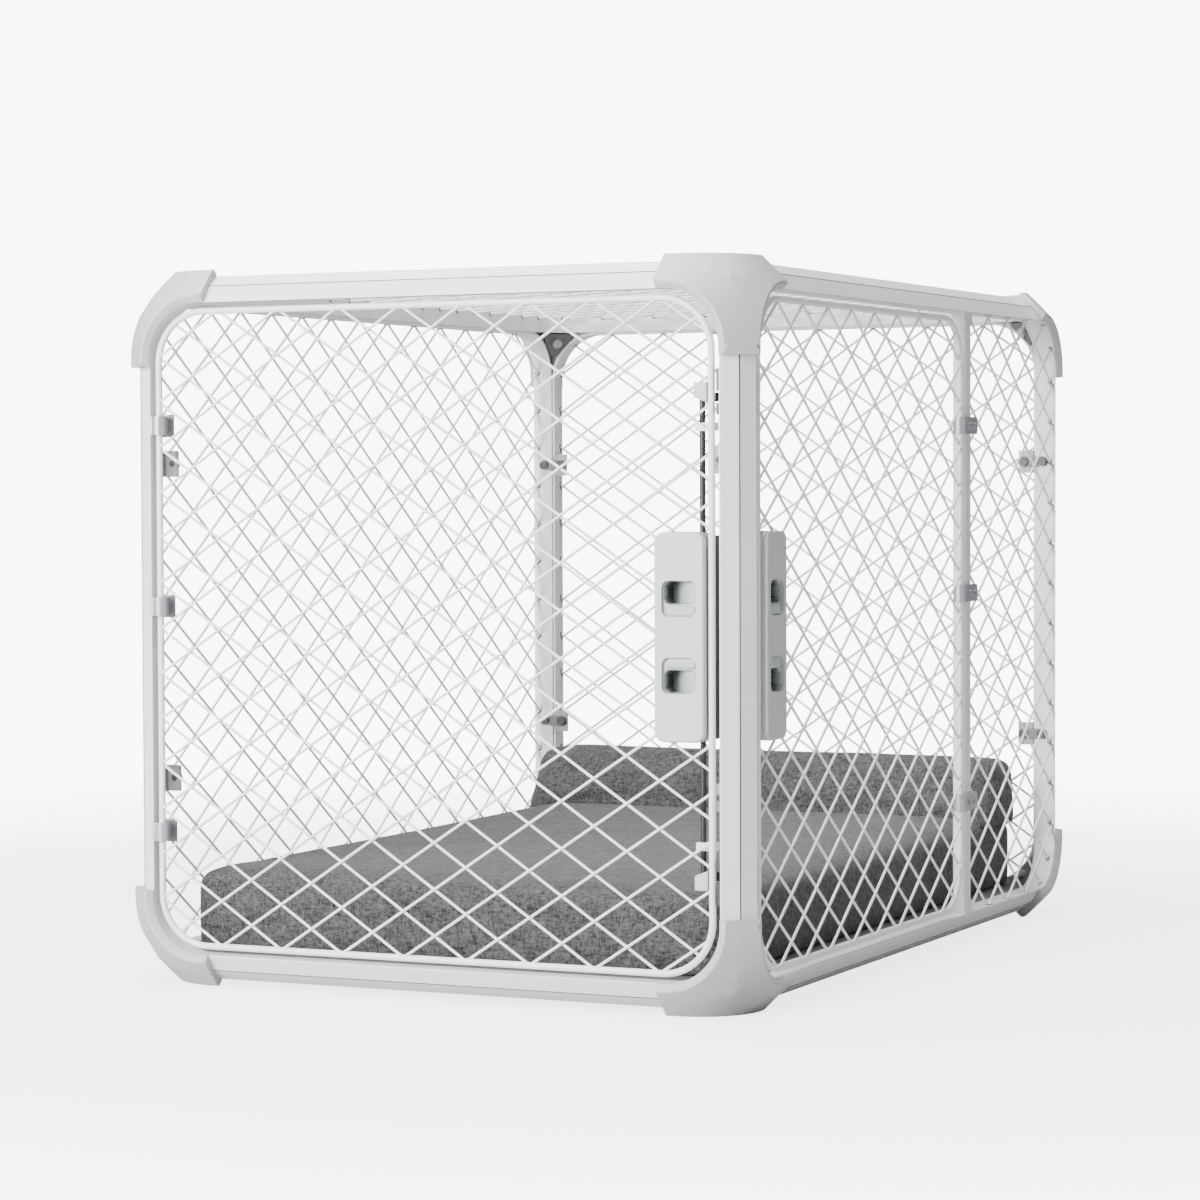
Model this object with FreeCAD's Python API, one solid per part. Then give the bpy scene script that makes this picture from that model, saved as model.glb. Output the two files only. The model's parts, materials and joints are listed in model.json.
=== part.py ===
import FreeCAD, Part
import math
import os

# Convertible pet crate: six framed panels held by corner caps and clips, two mesh doors, a bed.
# Millimetres. +X is the right side, -Y the front door, +Z up. The corner caps stand on Z = 0.

Vec = FreeCAD.Vector
Z_AXIS = Vec(0, 0, 1)

# ---- overall sizes, over the faces of the panel frames
FRAME_WIDTH = 610.0
FRAME_LENGTH = 910.0
FRAME_HEIGHT = 645.0
CAP_PROUD = 6.0                 # how far the corner caps stand out past the frame faces

# ---- extruded rail: a hollow bar whose outer strip leans towards the box edge
STRIP_SETBACK = 23.5            # where the leaning strip leaves the panel's face
SEAM_DEPTH = 9.5                # how deep the seam between two panels lies
RAIL_REACH = 24.5               # panel edge to the rail's inner wall
RAIL_DEPTH = 22.0
RAIL_WALL = 1.6
SEAM_CLEAR = 0.3                # each rail's clearance to the mitre between two panels
INNER_RADIUS = 50.5             # rounded inner corner of every frame

# ---- wire mesh
WIRE = 2.5
DIAMOND_LENGTH = 62.0
DIAMOND_HEIGHT = 41.5
PANEL_MESH_DEPTH = 5.0          # centre plane of a fixed mesh below its panel's face

# ---- doors
DOOR_ROD = 6.0
DOOR_GAP = 5.0
DOOR_DEPTH = 3.0                # centre plane of a door's rod and mesh below the panel's face
DOOR_BEND_EXTRA = 4.0           # how much wider the rod bends than the frame corner asks
HINGE_POST_WIDTH = 24.0
HINGE_POST_THICK = 14.0
POST_WALL = 1.5

# ---- hinges
CUFF_TALL = 17.0
CUFF_RADIUS = 7.0
RUNNING_FIT = 0.08              # radial
CUFF_HEIGHTS = (130.0, 350.0, 525.0)
STRAP_THICK = 2.0
LEAF_THICK = 3.0
LEAF_LENGTH = 31.0

# ---- latch
LATCH_WIDTH = 46.0
LATCH_HEIGHT = 180.0
LATCH_EDGE_GAP = 1.5            # latch shell to door rod
LATCH_WALL = 3.0
LATCH_PROUD = 5.0               # cover's outer face in front of the panel face
LATCH_BACK = 20.0               # back shell's inner face behind the panel face
LATCH_CORNER = 9.0
LATCH_END_BLOCK = 17.0          # solid end of each shell, where the screws go
WINDOW_WIDTH = 32.0
WINDOW_HEIGHT = 31.0
WINDOW_CORNER = 6.5
WINDOW_OFFSET = 33.0            # window centre to latch centre
SLIDER_NEAR = 6.0               # slider's inner end from the latch centre
SLIDER_FAR = 55.0               # slider's outer end from the latch centre
SLIDER_CLEAR = 1.0
LATCH_TRAVEL = 10.0
LATCH_ROD = 5.0
LATCH_ROD_INSET = 12.0          # latch rod's centre from the door rod's centre
LATCH_ROD_DEPTH = 12.0
HOOK_OFFSET = 209.0             # centre of the hook block from the latch centre
HOOK_TALL = 17.0
HOOK_WIDE = 12.5
TONGUE_TALL = 8.0
TONGUE_THICK = 3.5
SPRING_RADIUS = 4.6
SPRING_WIRE = 1.2
GUIDE_OFFSET = 179.5
GUIDE_TALL = 7.0
KEEPER_THICK = 3.0
KEEPER_TALL = 39.0
KEEPER_DEPTH = 17.0

# ---- corner caps and gussets
CAP_ARM = 82.0
CAP_CLEAR = 0.3
CAP_RIDGE = 17.0                # panel edge to the flat land between the cap's facet and its bevel
CAP_LAND = 2.5
CAP_LIP = 1.5                   # thickness left at the inner edge of the bevel
CAP_BLEND = 2.0                 # radius between the land and its neighbours
GUSSET_SUM = 95.0               # the gusset lies in the plane where the three depths add up to this
GUSSET_THICK = 3.0
GUSSET_BOLT = 6.0
CAP_CORE_SUM = 65.0             # the cap's solid core ends where the three depths add up to this
BOLT_TIP = 20.5                 # bolt tip, measured along each axis from the corner

# ---- panel clips
CLIP_HEIGHTS = (190.0, 480.0)
CLIP_TALL = 24.0
CLIP_THICK = 2.0
CLIP_LEG = 16.0
CLIP_PIN = 6.0
LEVER_THICK = 2.5
LEVER_WIDE = 11.0
LEVER_GAP = 0.3
CLIP_PIVOT = 34.0               # pivot from the side face
CLIP_STUD = 14.0                # stud from the side face

# ---- bed
BOARD_THICK = 3.0
BOARD_MARGIN = 0.8
MATTRESS_THICK = 74.0
MATTRESS_MARGIN = 34.0
MATTRESS_CORNER = 45.0
BED_CLEAR = 0.3
BOLSTER_THICK = 74.0
BOLSTER_DEPTH = 112.0
BOLSTER_INSET = 6.0
SCREW = 4.0
SCREW_HEAD = 7.0
SCREW_HEAD_TALL = 2.4

# ---- worked out from the sizes above
CORNER_CENTRE = RAIL_REACH + INNER_RADIUS
HALF_W = FRAME_WIDTH / 2
HALF_L = FRAME_LENGTH / 2
BASE = CAP_PROUD
TOP = CAP_PROUD + FRAME_HEIGHT
MID_Z = (BASE + TOP) / 2
ROD_R = DOOR_ROD / 2
ROD_REACH = RAIL_REACH + DOOR_GAP + ROD_R          # panel edge to door rod centre
DOOR_W = FRAME_WIDTH - 2 * ROD_REACH               # between rod centres
DOOR_H = FRAME_HEIGHT - 2 * ROD_REACH
DOOR_BASE = BASE + ROD_REACH
ROD_BEND = INNER_RADIUS - DOOR_GAP - ROD_R + DOOR_BEND_EXTRA
ROWS = round(DOOR_H / DIAMOND_HEIGHT)
ROW = DOOR_H / ROWS
LATCH_S1 = DOOR_W - ROD_R - LATCH_EDGE_GAP
LATCH_S0 = LATCH_S1 - LATCH_WIDTH
LATCH_ROD_S = DOOR_W - LATCH_ROD_INSET
WALL_S = DOOR_W + ROD_R + DOOR_GAP                 # post wall, in door coordinates
CAVITY_HALF = LATCH_HEIGHT / 2 - LATCH_END_BLOCK
MESH_FRONT = DOOR_DEPTH - WIRE / 2
MESH_REAR = DOOR_DEPTH + WIRE / 2
POST_FACE_Y = -HALF_L + ROD_REACH + DOOR_W + ROD_R + DOOR_GAP
BOARD_Z = BASE + RAIL_DEPTH
MATTRESS_Z = BOARD_Z + BOARD_THICK + BED_CLEAR
BOLSTER_Z = MATTRESS_Z + MATTRESS_THICK + BED_CLEAR


# ------------------------------------------------------------------ small helpers

def block(x0, x1, y0, y1, z0, z1):
    """Box between two limits on each axis."""
    return Part.makeBox(x1 - x0, y1 - y0, z1 - z0, Vec(x0, y0, z0))


def rod(radius, start, end):
    """Round bar between two points."""
    return Part.makeCylinder(radius, (end - start).Length, start, end - start)


def prism(points, direction):
    """Straight prism from a closed outline of points."""
    outline = Part.makePolygon(points + [points[0]])
    return Part.Face(outline).extrude(direction)


def rounded_wire(x0, x1, z0, z1, radius):
    """Rounded rectangle in the XZ plane."""
    k = radius * (1 - math.sqrt(0.5))
    r = radius
    edges = [
        Part.LineSegment(Vec(x0 + r, 0, z0), Vec(x1 - r, 0, z0)),
        Part.Arc(Vec(x1 - r, 0, z0), Vec(x1 - k, 0, z0 + k), Vec(x1, 0, z0 + r)),
        Part.LineSegment(Vec(x1, 0, z0 + r), Vec(x1, 0, z1 - r)),
        Part.Arc(Vec(x1, 0, z1 - r), Vec(x1 - k, 0, z1 - k), Vec(x1 - r, 0, z1)),
        Part.LineSegment(Vec(x1 - r, 0, z1), Vec(x0 + r, 0, z1)),
        Part.Arc(Vec(x0 + r, 0, z1), Vec(x0 + k, 0, z1 - k), Vec(x0, 0, z1 - r)),
        Part.LineSegment(Vec(x0, 0, z1 - r), Vec(x0, 0, z0 + r)),
        Part.Arc(Vec(x0, 0, z0 + r), Vec(x0 + k, 0, z0 + k), Vec(x0 + r, 0, z0)),
    ]
    return Part.Wire([edge.toShape() for edge in edges])


def rounded_slab(x0, x1, z0, z1, radius, y0, y1):
    """Rounded rectangle in XZ, thick along Y."""
    face = Part.Face(rounded_wire(x0, x1, z0, z1, radius))
    face.translate(Vec(0, y0, 0))
    return face.extrude(Vec(0, y1 - y0, 0))


def group(shapes):
    """Several separate solids kept together in one node."""
    solids = []
    for shape in shapes:
        solids.extend(shape.Solids)
    return Part.makeCompound(solids)


def screw(seat, direction, length):
    """Pan-head screw: seat is under the head, direction points along the shank."""
    unit = Vec(direction).normalize()
    head = Part.makeCylinder(SCREW_HEAD / 2, SCREW_HEAD_TALL, seat - unit * SCREW_HEAD_TALL, unit)
    slot = Part.makeCylinder(SCREW_HEAD / 5, SCREW_HEAD_TALL / 2, seat - unit * SCREW_HEAD_TALL, unit)
    shank = Part.makeCylinder(SCREW / 2, length, seat, unit)
    return head.fuse(shank).cut(slot)


# ------------------------------------------------------------------ placing panels and corners

PANELS = {
    "front": (FRAME_WIDTH, FRAME_HEIGHT, Z_AXIS, 0, Vec(0, -HALF_L, MID_Z)),
    "back": (FRAME_WIDTH, FRAME_HEIGHT, Z_AXIS, 180, Vec(0, HALF_L, MID_Z)),
    "left": (FRAME_LENGTH, FRAME_HEIGHT, Z_AXIS, -90, Vec(-HALF_W, 0, MID_Z)),
    "right": (FRAME_LENGTH, FRAME_HEIGHT, Z_AXIS, 90, Vec(HALF_W, 0, MID_Z)),
    "bottom": (FRAME_WIDTH, FRAME_LENGTH, Vec(1, 0, 0), 90, Vec(0, 0, BASE)),
    "top": (FRAME_WIDTH, FRAME_LENGTH, Vec(1, 0, 0), -90, Vec(0, 0, TOP)),
}


def place_panel(shape, side):
    """Panel coordinates (X along, Y depth inwards, Z up) to the crate."""
    _, _, axis, angle, place = PANELS[side]
    turned = shape.copy()
    turned.rotate(Vec(0, 0, 0), axis, angle)
    turned.translate(place)
    return turned


def place_corner(shape, right, back, top):
    """Corner coordinates (inwards from the three frame faces) to one of the eight corners."""
    placed = shape.copy()
    if right:
        placed = placed.mirror(Vec(0, 0, 0), Vec(1, 0, 0))
    if back:
        placed = placed.mirror(Vec(0, 0, 0), Vec(0, 1, 0))
    if top:
        placed = placed.mirror(Vec(0, 0, 0), Vec(0, 0, 1))
    placed.translate(Vec(HALF_W if right else -HALF_W, HALF_L if back else -HALF_L, TOP if top else BASE))
    return placed


def place_front(shape):
    """Door coordinates (X from the hinge, Y depth, Z up) to the front doorway."""
    placed = shape.copy()
    placed.translate(Vec(-HALF_W + ROD_REACH, -HALF_L, 0))
    return placed


def place_side(shape):
    """The same door, mirrored, in the front part of the right side."""
    placed = shape.copy()
    placed.rotate(Vec(0, 0, 0), Z_AXIS, 90)
    placed = placed.mirror(Vec(0, 0, 0), Vec(0, 1, 0))
    placed.translate(Vec(HALF_W, -HALF_L + ROD_REACH + DOOR_W, 0))
    return placed


# ------------------------------------------------------------------ panel frames

def rail_section():
    """Hollow rail section at X = 0: Y is depth, Z is the distance in from the panel edge."""
    shift = SEAM_CLEAR * math.sqrt(0.5)
    corners = [
        Vec(0, SEAM_DEPTH - shift, SEAM_DEPTH + shift),
        Vec(0, 0, STRIP_SETBACK),
        Vec(0, 0, RAIL_REACH),
        Vec(0, RAIL_DEPTH, RAIL_REACH),
        Vec(0, RAIL_DEPTH, RAIL_DEPTH + 2 * shift),
    ]
    outline = Part.makePolygon(corners + [corners[0]])
    outer = Part.Face(outline)
    hollow = outer.makeOffset2D(-RAIL_WALL, 2)
    return outer.cut(hollow)


def panel_frame(width, height):
    """Four hollow rails and four elbows."""
    pieces = []
    for turn in range(4):
        along = width if turn % 2 == 0 else height
        across = height if turn % 2 == 0 else width
        run = along - 2 * CORNER_CENTRE
        section = rail_section()
        section.translate(Vec(-run / 2, 0, -across / 2))
        rail = section.extrude(Vec(run, 0, 0))
        elbow = rail_section()
        elbow.translate(Vec(run / 2, 0, -across / 2))
        centre = Vec(run / 2, 0, -across / 2 + CORNER_CENTRE)
        elbow = elbow.revolve(centre, Vec(0, -1, 0), 90)
        for piece in (rail, elbow):
            piece.rotate(Vec(0, 0, 0), Vec(0, -1, 0), 90 * turn)
            pieces.append(piece)
    return group(pieces)


# ------------------------------------------------------------------ diamond mesh

def diamond_mesh(x0, x1, z0, z1, row, anchor_x, anchor_z, depth):
    """Welded wires crossing as diamonds inside a rectangle, with a crossing at the anchor."""
    wires = []
    steep = row / DIAMOND_LENGTH
    reach = (x1 - x0) * steep + (z1 - z0)
    count = int(reach / row) + 2
    for sign in (1, -1):
        for step in range(-count, count + 1):
            start_z = anchor_z + step * row - sign * steep * (anchor_x - x0)
            low = (z0 - start_z) / (sign * steep)
            high = (z1 - start_z) / (sign * steep)
            near = max(0.0, min(low, high))
            far = min(x1 - x0, max(low, high))
            if far - near < 4 * WIRE:
                continue
            start = Vec(x0 + near, depth, start_z + sign * steep * near)
            end = Vec(x0 + far, depth, start_z + sign * steep * far)
            spare = (end - start).normalize() * WIRE * 2
            wires.append(rod(WIRE / 2, start - spare, end + spare))
    return wires[0].multiFuse(wires[1:])


def framed_mesh(width, height, x0=None, x1=None):
    """Mesh that fills a fixed panel's frame, or the part of it between x0 and x1."""
    half = width / 2 - RAIL_REACH
    tall = height / 2 - RAIL_REACH
    left = -half if x0 is None else x0
    right = half if x1 is None else x1
    row = 2 * tall / round(2 * tall / DIAMOND_HEIGHT)
    mesh = diamond_mesh(left, right, -tall, tall, row, left, -tall, PANEL_MESH_DEPTH)
    window = rounded_slab(-half, half, -tall, tall, INNER_RADIUS, 0, RAIL_DEPTH)
    limit = block(left, right, -WIRE, RAIL_DEPTH, -tall, tall)
    return mesh.common(window.common(limit))


# ------------------------------------------------------------------ corner caps and gussets

def draped_corner(profile):
    """Solid under a skin that follows one face's rounded corner: profile is (in from the edge, depth)."""
    far = 4 * CAP_ARM
    centre = CORNER_CENTRE
    section = [Vec(u, centre, depth) for u, depth in profile]
    section.append(Vec(profile[-1][0], centre, far))
    section.append(Vec(centre, centre, far))
    face = Part.Face(Part.makePolygon(section + [section[0]]))
    arm = face.extrude(Vec(0, far, 0))
    bend = face.revolve(Vec(centre, centre, 0), Z_AXIS, 90)
    other = arm.mirror(Vec(0, 0, 0), Vec(1, -1, 0).normalize())
    middle = block(centre, far, centre, far, profile[0][1], far)
    return arm.fuse([bend, other, middle]).removeSplitter()


def three_ways(solid):
    """The same solid seen from each of the three faces."""
    ways = []
    for angle in (0, 120, 240):
        turned = solid.copy()
        turned.rotate(Vec(0, 0, 0), Vec(1, 1, 1), angle)
        ways.append(turned)
    return ways


def frame_envelope():
    """Space that the three panel frames take at a corner, with the caps' clearance."""
    outer = -CORNER_CENTRE
    lean = SEAM_DEPTH / (STRIP_SETBACK - SEAM_DEPTH)
    profile = [
        (CORNER_CENTRE, -CAP_CLEAR), (STRIP_SETBACK, -CAP_CLEAR),
        (outer, -CAP_CLEAR + (STRIP_SETBACK - outer) * lean),
    ]
    first, second, third = three_ways(draped_corner(profile))
    core = prism([Vec(CAP_CORE_SUM, 0, 0), Vec(0, CAP_CORE_SUM, 0), Vec(0, 0, CAP_CORE_SUM)],
                 Vec(-1, -1, -1) * CAP_ARM)
    return first.common(second).common(third).cut(core)


def on_land(edge):
    """Whether an edge lies in one of the cap's three flat lands."""
    bounds = edge.BoundBox
    for low, high in ((bounds.XMin, bounds.XMax), (bounds.YMin, bounds.YMax), (bounds.ZMin, bounds.ZMax)):
        if high - low < 0.001 and abs(low + CAP_PROUD) < 0.01:
            return True
    return False


def cap_outside():
    """Three facets that bend round the corner, each with a bevel down to the doorway."""
    outer = -CORNER_CENTRE
    profile = [
        (CORNER_CENTRE, -CAP_LIP), (RAIL_REACH, -CAP_LIP), (CAP_RIDGE + CAP_LAND, -CAP_PROUD),
        (CAP_RIDGE, -CAP_PROUD), (outer, -CAP_PROUD + CAP_RIDGE - outer),
    ]
    first, second, third = three_ways(draped_corner(profile))
    outside = first.common(second).common(third)
    return outside.makeFillet(CAP_BLEND, [edge for edge in outside.Edges if on_land(edge)])


def corner_cap():
    """Hollow three-way cap: three arms over the box edges, open over each panel."""
    low = -2 * CAP_PROUD
    cap = cap_outside().common(block(low, CAP_ARM, low, CAP_ARM, low, CAP_ARM))
    cap = cap.cut(frame_envelope())
    far = 4 * CAP_ARM
    window = rounded_slab(RAIL_REACH, far, RAIL_REACH, far, INNER_RADIUS, -far, far)
    for hole in three_ways(window):
        cap = cap.cut(hole)
    tip = Vec(1, 1, 1) * (BOLT_TIP - CAP_CLEAR)
    return cap.cut(rod(GUSSET_BOLT / 2 + RUNNING_FIT, tip, Vec(1, 1, 1) * CAP_ARM))


def gusset():
    """Triangular plate that rests on the inner faces of three frames, drilled for its bolt."""
    near = RAIL_DEPTH + CAP_CLEAR
    far = GUSSET_SUM - 2 * near
    corners = [Vec(near, near, far), Vec(near, far, near), Vec(far, near, near)]
    plate = prism(corners, Vec(1, 1, 1).normalize() * GUSSET_THICK)
    trims = []
    for corner in corners:
        trims.append(Part.makeSphere(CLIP_PIN, corner))
    for trim in trims:
        plate = plate.cut(trim)
    middle = Vec(1, 1, 1) * (GUSSET_SUM / 3)
    hole = rod(GUSSET_BOLT / 2 + RUNNING_FIT, middle - Vec(1, 1, 1) * 5, middle + Vec(1, 1, 1) * 5)
    return plate.cut(hole)


def gusset_bolt():
    """Hexagon-head bolt from the gusset out into the cap's boss."""
    diagonal = Vec(1, 1, 1).normalize()
    seat = Vec(1, 1, 1) * (GUSSET_SUM / 3) + diagonal * GUSSET_THICK
    shank = rod(GUSSET_BOLT / 2, Vec(1, 1, 1) * BOLT_TIP, seat)
    head = rod(GUSSET_BOLT * 0.85, seat, seat + diagonal * GUSSET_BOLT * 0.6)
    return shank.fuse(head)


# ------------------------------------------------------------------ doors (door coordinates)

def door_rod():
    """Round bar bent to a rounded rectangle and welded shut."""
    wire = rounded_wire(0, DOOR_W, DOOR_BASE, DOOR_BASE + DOOR_H, ROD_BEND)
    wire.translate(Vec(0, DOOR_DEPTH, 0))
    start = Vec(ROD_BEND, DOOR_DEPTH, DOOR_BASE)
    profile = Part.Wire([Part.makeCircle(ROD_R, start, Vec(1, 0, 0))])
    return wire.makePipeShell([profile], True, False)


def door_mesh():
    """Mesh welded inside the door rod, cut away inside the latch."""
    x0 = ROD_R
    x1 = DOOR_W - ROD_R
    z0 = DOOR_BASE + ROD_R
    z1 = DOOR_BASE + DOOR_H - ROD_R
    mesh = diamond_mesh(x0, x1, z0, z1, ROW, 0, DOOR_BASE, DOOR_DEPTH)
    mesh = mesh.common(rounded_slab(x0, x1, z0, z1, ROD_BEND - ROD_R, 0, RAIL_DEPTH))
    inner = block(LATCH_S0 + LATCH_WALL, DOOR_W, -WIRE, RAIL_DEPTH,
                  MID_Z - LATCH_HEIGHT / 2 + LATCH_WALL, MID_Z + LATCH_HEIGHT / 2 - LATCH_WALL)
    return mesh.cut(inner)


def latch_outline(y0, y1):
    """Latch shell's outer slab between two depths."""
    return rounded_slab(LATCH_S0, LATCH_S1, MID_Z - LATCH_HEIGHT / 2, MID_Z + LATCH_HEIGHT / 2,
                        LATCH_CORNER, y0, y1)


def latch_screw_places():
    """Four screws in the solid ends of the shells, clear of the latch rods."""
    places = []
    for across in (LATCH_WIDTH * 0.18, LATCH_WIDTH * 0.5):
        for up in (-1, 1):
            places.append((LATCH_S0 + across, MID_Z + up * (LATCH_HEIGHT - LATCH_END_BLOCK) / 2))
    return places


def latch_cavity():
    """Space between the shells that the sliders run in."""
    return block(LATCH_S0 + LATCH_WALL, LATCH_S1 - LATCH_WALL, -LATCH_PROUD + LATCH_WALL,
                 LATCH_BACK - LATCH_WALL, MID_Z - CAVITY_HALF, MID_Z + CAVITY_HALF)


def latch_cover():
    """Outer shell with two finger windows and rounded front edges."""
    shell = latch_outline(-LATCH_PROUD, MESH_FRONT - CAP_CLEAR)
    front = [edge for edge in shell.Edges if edge.BoundBox.YMax < -LATCH_PROUD + 0.01]
    shell = shell.makeFillet(LATCH_WALL * 0.7, front)
    shell = shell.cut(latch_cavity())
    middle = (LATCH_S0 + LATCH_S1) / 2
    for up in (-1, 1):
        centre = MID_Z + up * WINDOW_OFFSET
        shell = shell.cut(rounded_slab(middle - WINDOW_WIDTH / 2, middle + WINDOW_WIDTH / 2,
                                       centre - WINDOW_HEIGHT / 2, centre + WINDOW_HEIGHT / 2,
                                       WINDOW_CORNER, -2 * LATCH_PROUD, 0))
    for s, z in latch_screw_places():
        tip = Vec(s, -LATCH_PROUD + LATCH_WALL, z)
        shell = shell.cut(rod(SCREW / 2 + RUNNING_FIT, tip, tip + Vec(0, LATCH_BACK, 0)))
    return shell


def latch_back():
    """Inner shell, bored at both ends for the latch rods and drilled for the screws."""
    shell = latch_outline(MESH_REAR + CAP_CLEAR, LATCH_BACK)
    rear = [edge for edge in shell.Edges if edge.BoundBox.YMin > LATCH_BACK - 0.01]
    shell = shell.makeFillet(LATCH_WALL * 0.7, rear)
    shell = shell.cut(latch_cavity())
    bore_start = Vec(LATCH_ROD_S, LATCH_ROD_DEPTH, MID_Z - LATCH_HEIGHT)
    shell = shell.cut(rod(LATCH_ROD / 2 + RUNNING_FIT, bore_start, bore_start + Vec(0, 0, 2 * LATCH_HEIGHT)))
    for s, z in latch_screw_places():
        start = Vec(s, 0, z)
        shell = shell.cut(rod(SCREW / 2 + RUNNING_FIT, start, start + Vec(0, 2 * LATCH_BACK, 0)))
    return shell


def latch_screws():
    """Four screws from the inside through both shells."""
    length = LATCH_BACK + LATCH_PROUD - LATCH_WALL - CAP_CLEAR
    return group([screw(Vec(s, LATCH_BACK, z), Vec(0, -1, 0), length) for s, z in latch_screw_places()])


def rod_guides():
    """Two welded collars that hold the latch rods beside the door rod."""
    pieces = []
    for up in (-1, 1):
        z = MID_Z + up * GUIDE_OFFSET
        collar = block(LATCH_ROD_S - LATCH_ROD * 0.9, DOOR_W + 1.0, DOOR_DEPTH + ROD_R + CAP_CLEAR,
                       LATCH_ROD_DEPTH + LATCH_ROD * 0.9, z - GUIDE_TALL / 2, z + GUIDE_TALL / 2)
        start = Vec(LATCH_ROD_S, LATCH_ROD_DEPTH, z - GUIDE_TALL)
        bore = rod(LATCH_ROD / 2 + RUNNING_FIT, start, start + Vec(0, 0, 2 * GUIDE_TALL))
        pieces.append(collar.cut(bore))
    return group(pieces)


def flip(shape):
    """Mirror a latch piece from the upper half to the lower half."""
    return shape.mirror(Vec(0, 0, MID_Z), Z_AXIS)


def upper_slider():
    """Finger slider: plate behind the window, finger hollow, pull ridge and the lug for its rod."""
    s0 = LATCH_S0 + LATCH_WALL + SLIDER_CLEAR
    s1 = LATCH_S1 - LATCH_WALL - SLIDER_CLEAR
    front = -LATCH_PROUD + LATCH_WALL + CAP_CLEAR
    rear = LATCH_ROD_DEPTH - LATCH_ROD / 2 - 2.0
    plate = block(s0, s1, front, rear, MID_Z + SLIDER_NEAR, MID_Z + SLIDER_FAR)
    middle = (LATCH_S0 + LATCH_S1) / 2
    window_low = MID_Z + WINDOW_OFFSET - WINDOW_HEIGHT / 2
    hollow = rounded_slab(middle - WINDOW_WIDTH * 0.38, middle + WINDOW_WIDTH * 0.38,
                          window_low + WINDOW_HEIGHT * 0.42, window_low + WINDOW_HEIGHT * 0.9,
                          WINDOW_CORNER * 0.7, front - 1.0, rear - LATCH_WALL)
    ridge = rounded_slab(middle - WINDOW_WIDTH * 0.4, middle + WINDOW_WIDTH * 0.4,
                         window_low + 2.0, window_low + WINDOW_HEIGHT * 0.34,
                         WINDOW_CORNER * 0.4, front - LATCH_WALL, front)
    lug = block(LATCH_ROD_S - LATCH_ROD * 0.9, s1, rear, LATCH_BACK - LATCH_WALL - SLIDER_CLEAR,
                MID_Z + SLIDER_FAR - LATCH_END_BLOCK, MID_Z + SLIDER_FAR)
    return plate.cut(hollow).fuse([ridge, lug]).removeSplitter()


def upper_latch_rod():
    """Steel rod from the slider's lug to the hook block, whose tongue reaches into the keeper."""
    block_low = MID_Z + HOOK_OFFSET - HOOK_TALL / 2
    start = Vec(LATCH_ROD_S, LATCH_ROD_DEPTH, MID_Z + SLIDER_FAR)
    bar = rod(LATCH_ROD / 2, start, Vec(LATCH_ROD_S, LATCH_ROD_DEPTH, block_low + 2.0))
    s0 = LATCH_ROD_S - HOOK_WIDE / 2
    s1 = LATCH_ROD_S + HOOK_WIDE / 2
    front = DOOR_DEPTH + ROD_R + CAP_CLEAR
    rear = LATCH_ROD_DEPTH + 5.0
    slant = HOOK_WIDE * 0.35
    outline = [
        Vec(s0 + slant, front, block_low), Vec(s1, front, block_low), Vec(s1, front, block_low + HOOK_TALL),
        Vec(s0, front, block_low + HOOK_TALL), Vec(s0, front, block_low + slant),
    ]
    head = prism(outline, Vec(0, rear - front, 0))
    tongue_low = MID_Z + HOOK_OFFSET - HOOK_TALL / 2 - 1.0
    tongue = block(LATCH_ROD_S, WALL_S - 0.5, LATCH_ROD_DEPTH - TONGUE_THICK / 2,
                   LATCH_ROD_DEPTH + TONGUE_THICK / 2, tongue_low + 1.0, tongue_low + 1.0 + TONGUE_TALL)
    return bar.fuse([head, tongue]).removeSplitter()


def upper_keeper():
    """Plate on the post's wall. Its slot is open to the front low down and closed where it latches."""
    centre = MID_Z + HOOK_OFFSET
    z0 = centre - KEEPER_TALL / 2
    plate = block(WALL_S - KEEPER_THICK, WALL_S, 1.0, 1.0 + KEEPER_DEPTH, z0, z0 + KEEPER_TALL)
    low = centre - HOOK_TALL / 2 - 1.0
    gate_top = low + TONGUE_TALL + 2.0
    latched_top = low + LATCH_TRAVEL + TONGUE_TALL + 2.0
    gate = block(WALL_S - 2 * KEEPER_THICK, WALL_S + 1, -1.0, LATCH_ROD_DEPTH + 3.0, low, gate_top)
    hold = block(WALL_S - 2 * KEEPER_THICK, WALL_S + 1, LATCH_ROD_DEPTH - 2.5, LATCH_ROD_DEPTH + 3.0,
                 low, latched_top)
    return plate.cut(gate).cut(hold)


def latch_spring():
    """Sleeve with the outer and inner size of the coil between the two sliders."""
    low = Vec((LATCH_S0 + LATCH_S1) / 2, DOOR_DEPTH, MID_Z - SLIDER_NEAR)
    high = Vec(low.x, low.y, MID_Z + SLIDER_NEAR)
    return rod(SPRING_RADIUS, low, high).cut(rod(SPRING_RADIUS - SPRING_WIRE, low, high))


# ------------------------------------------------------------------ hinges (door coordinates)

def cuff_places():
    """Cuff heights, each moved to the middle between two wire crossings."""
    places = []
    for height in CUFF_HEIGHTS:
        wanted = DOOR_BASE + (height - BASE) / FRAME_HEIGHT * DOOR_H
        gap_index = max(0, min(ROWS - 1, int((wanted - DOOR_BASE) / ROW)))
        places.append(DOOR_BASE + (gap_index + 0.5) * ROW)
    return places


def cuff_bore(z):
    start = Vec(0, DOOR_DEPTH, z - CUFF_TALL)
    return rod(ROD_R + RUNNING_FIT, start, start + Vec(0, 0, 2 * CUFF_TALL))


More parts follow.
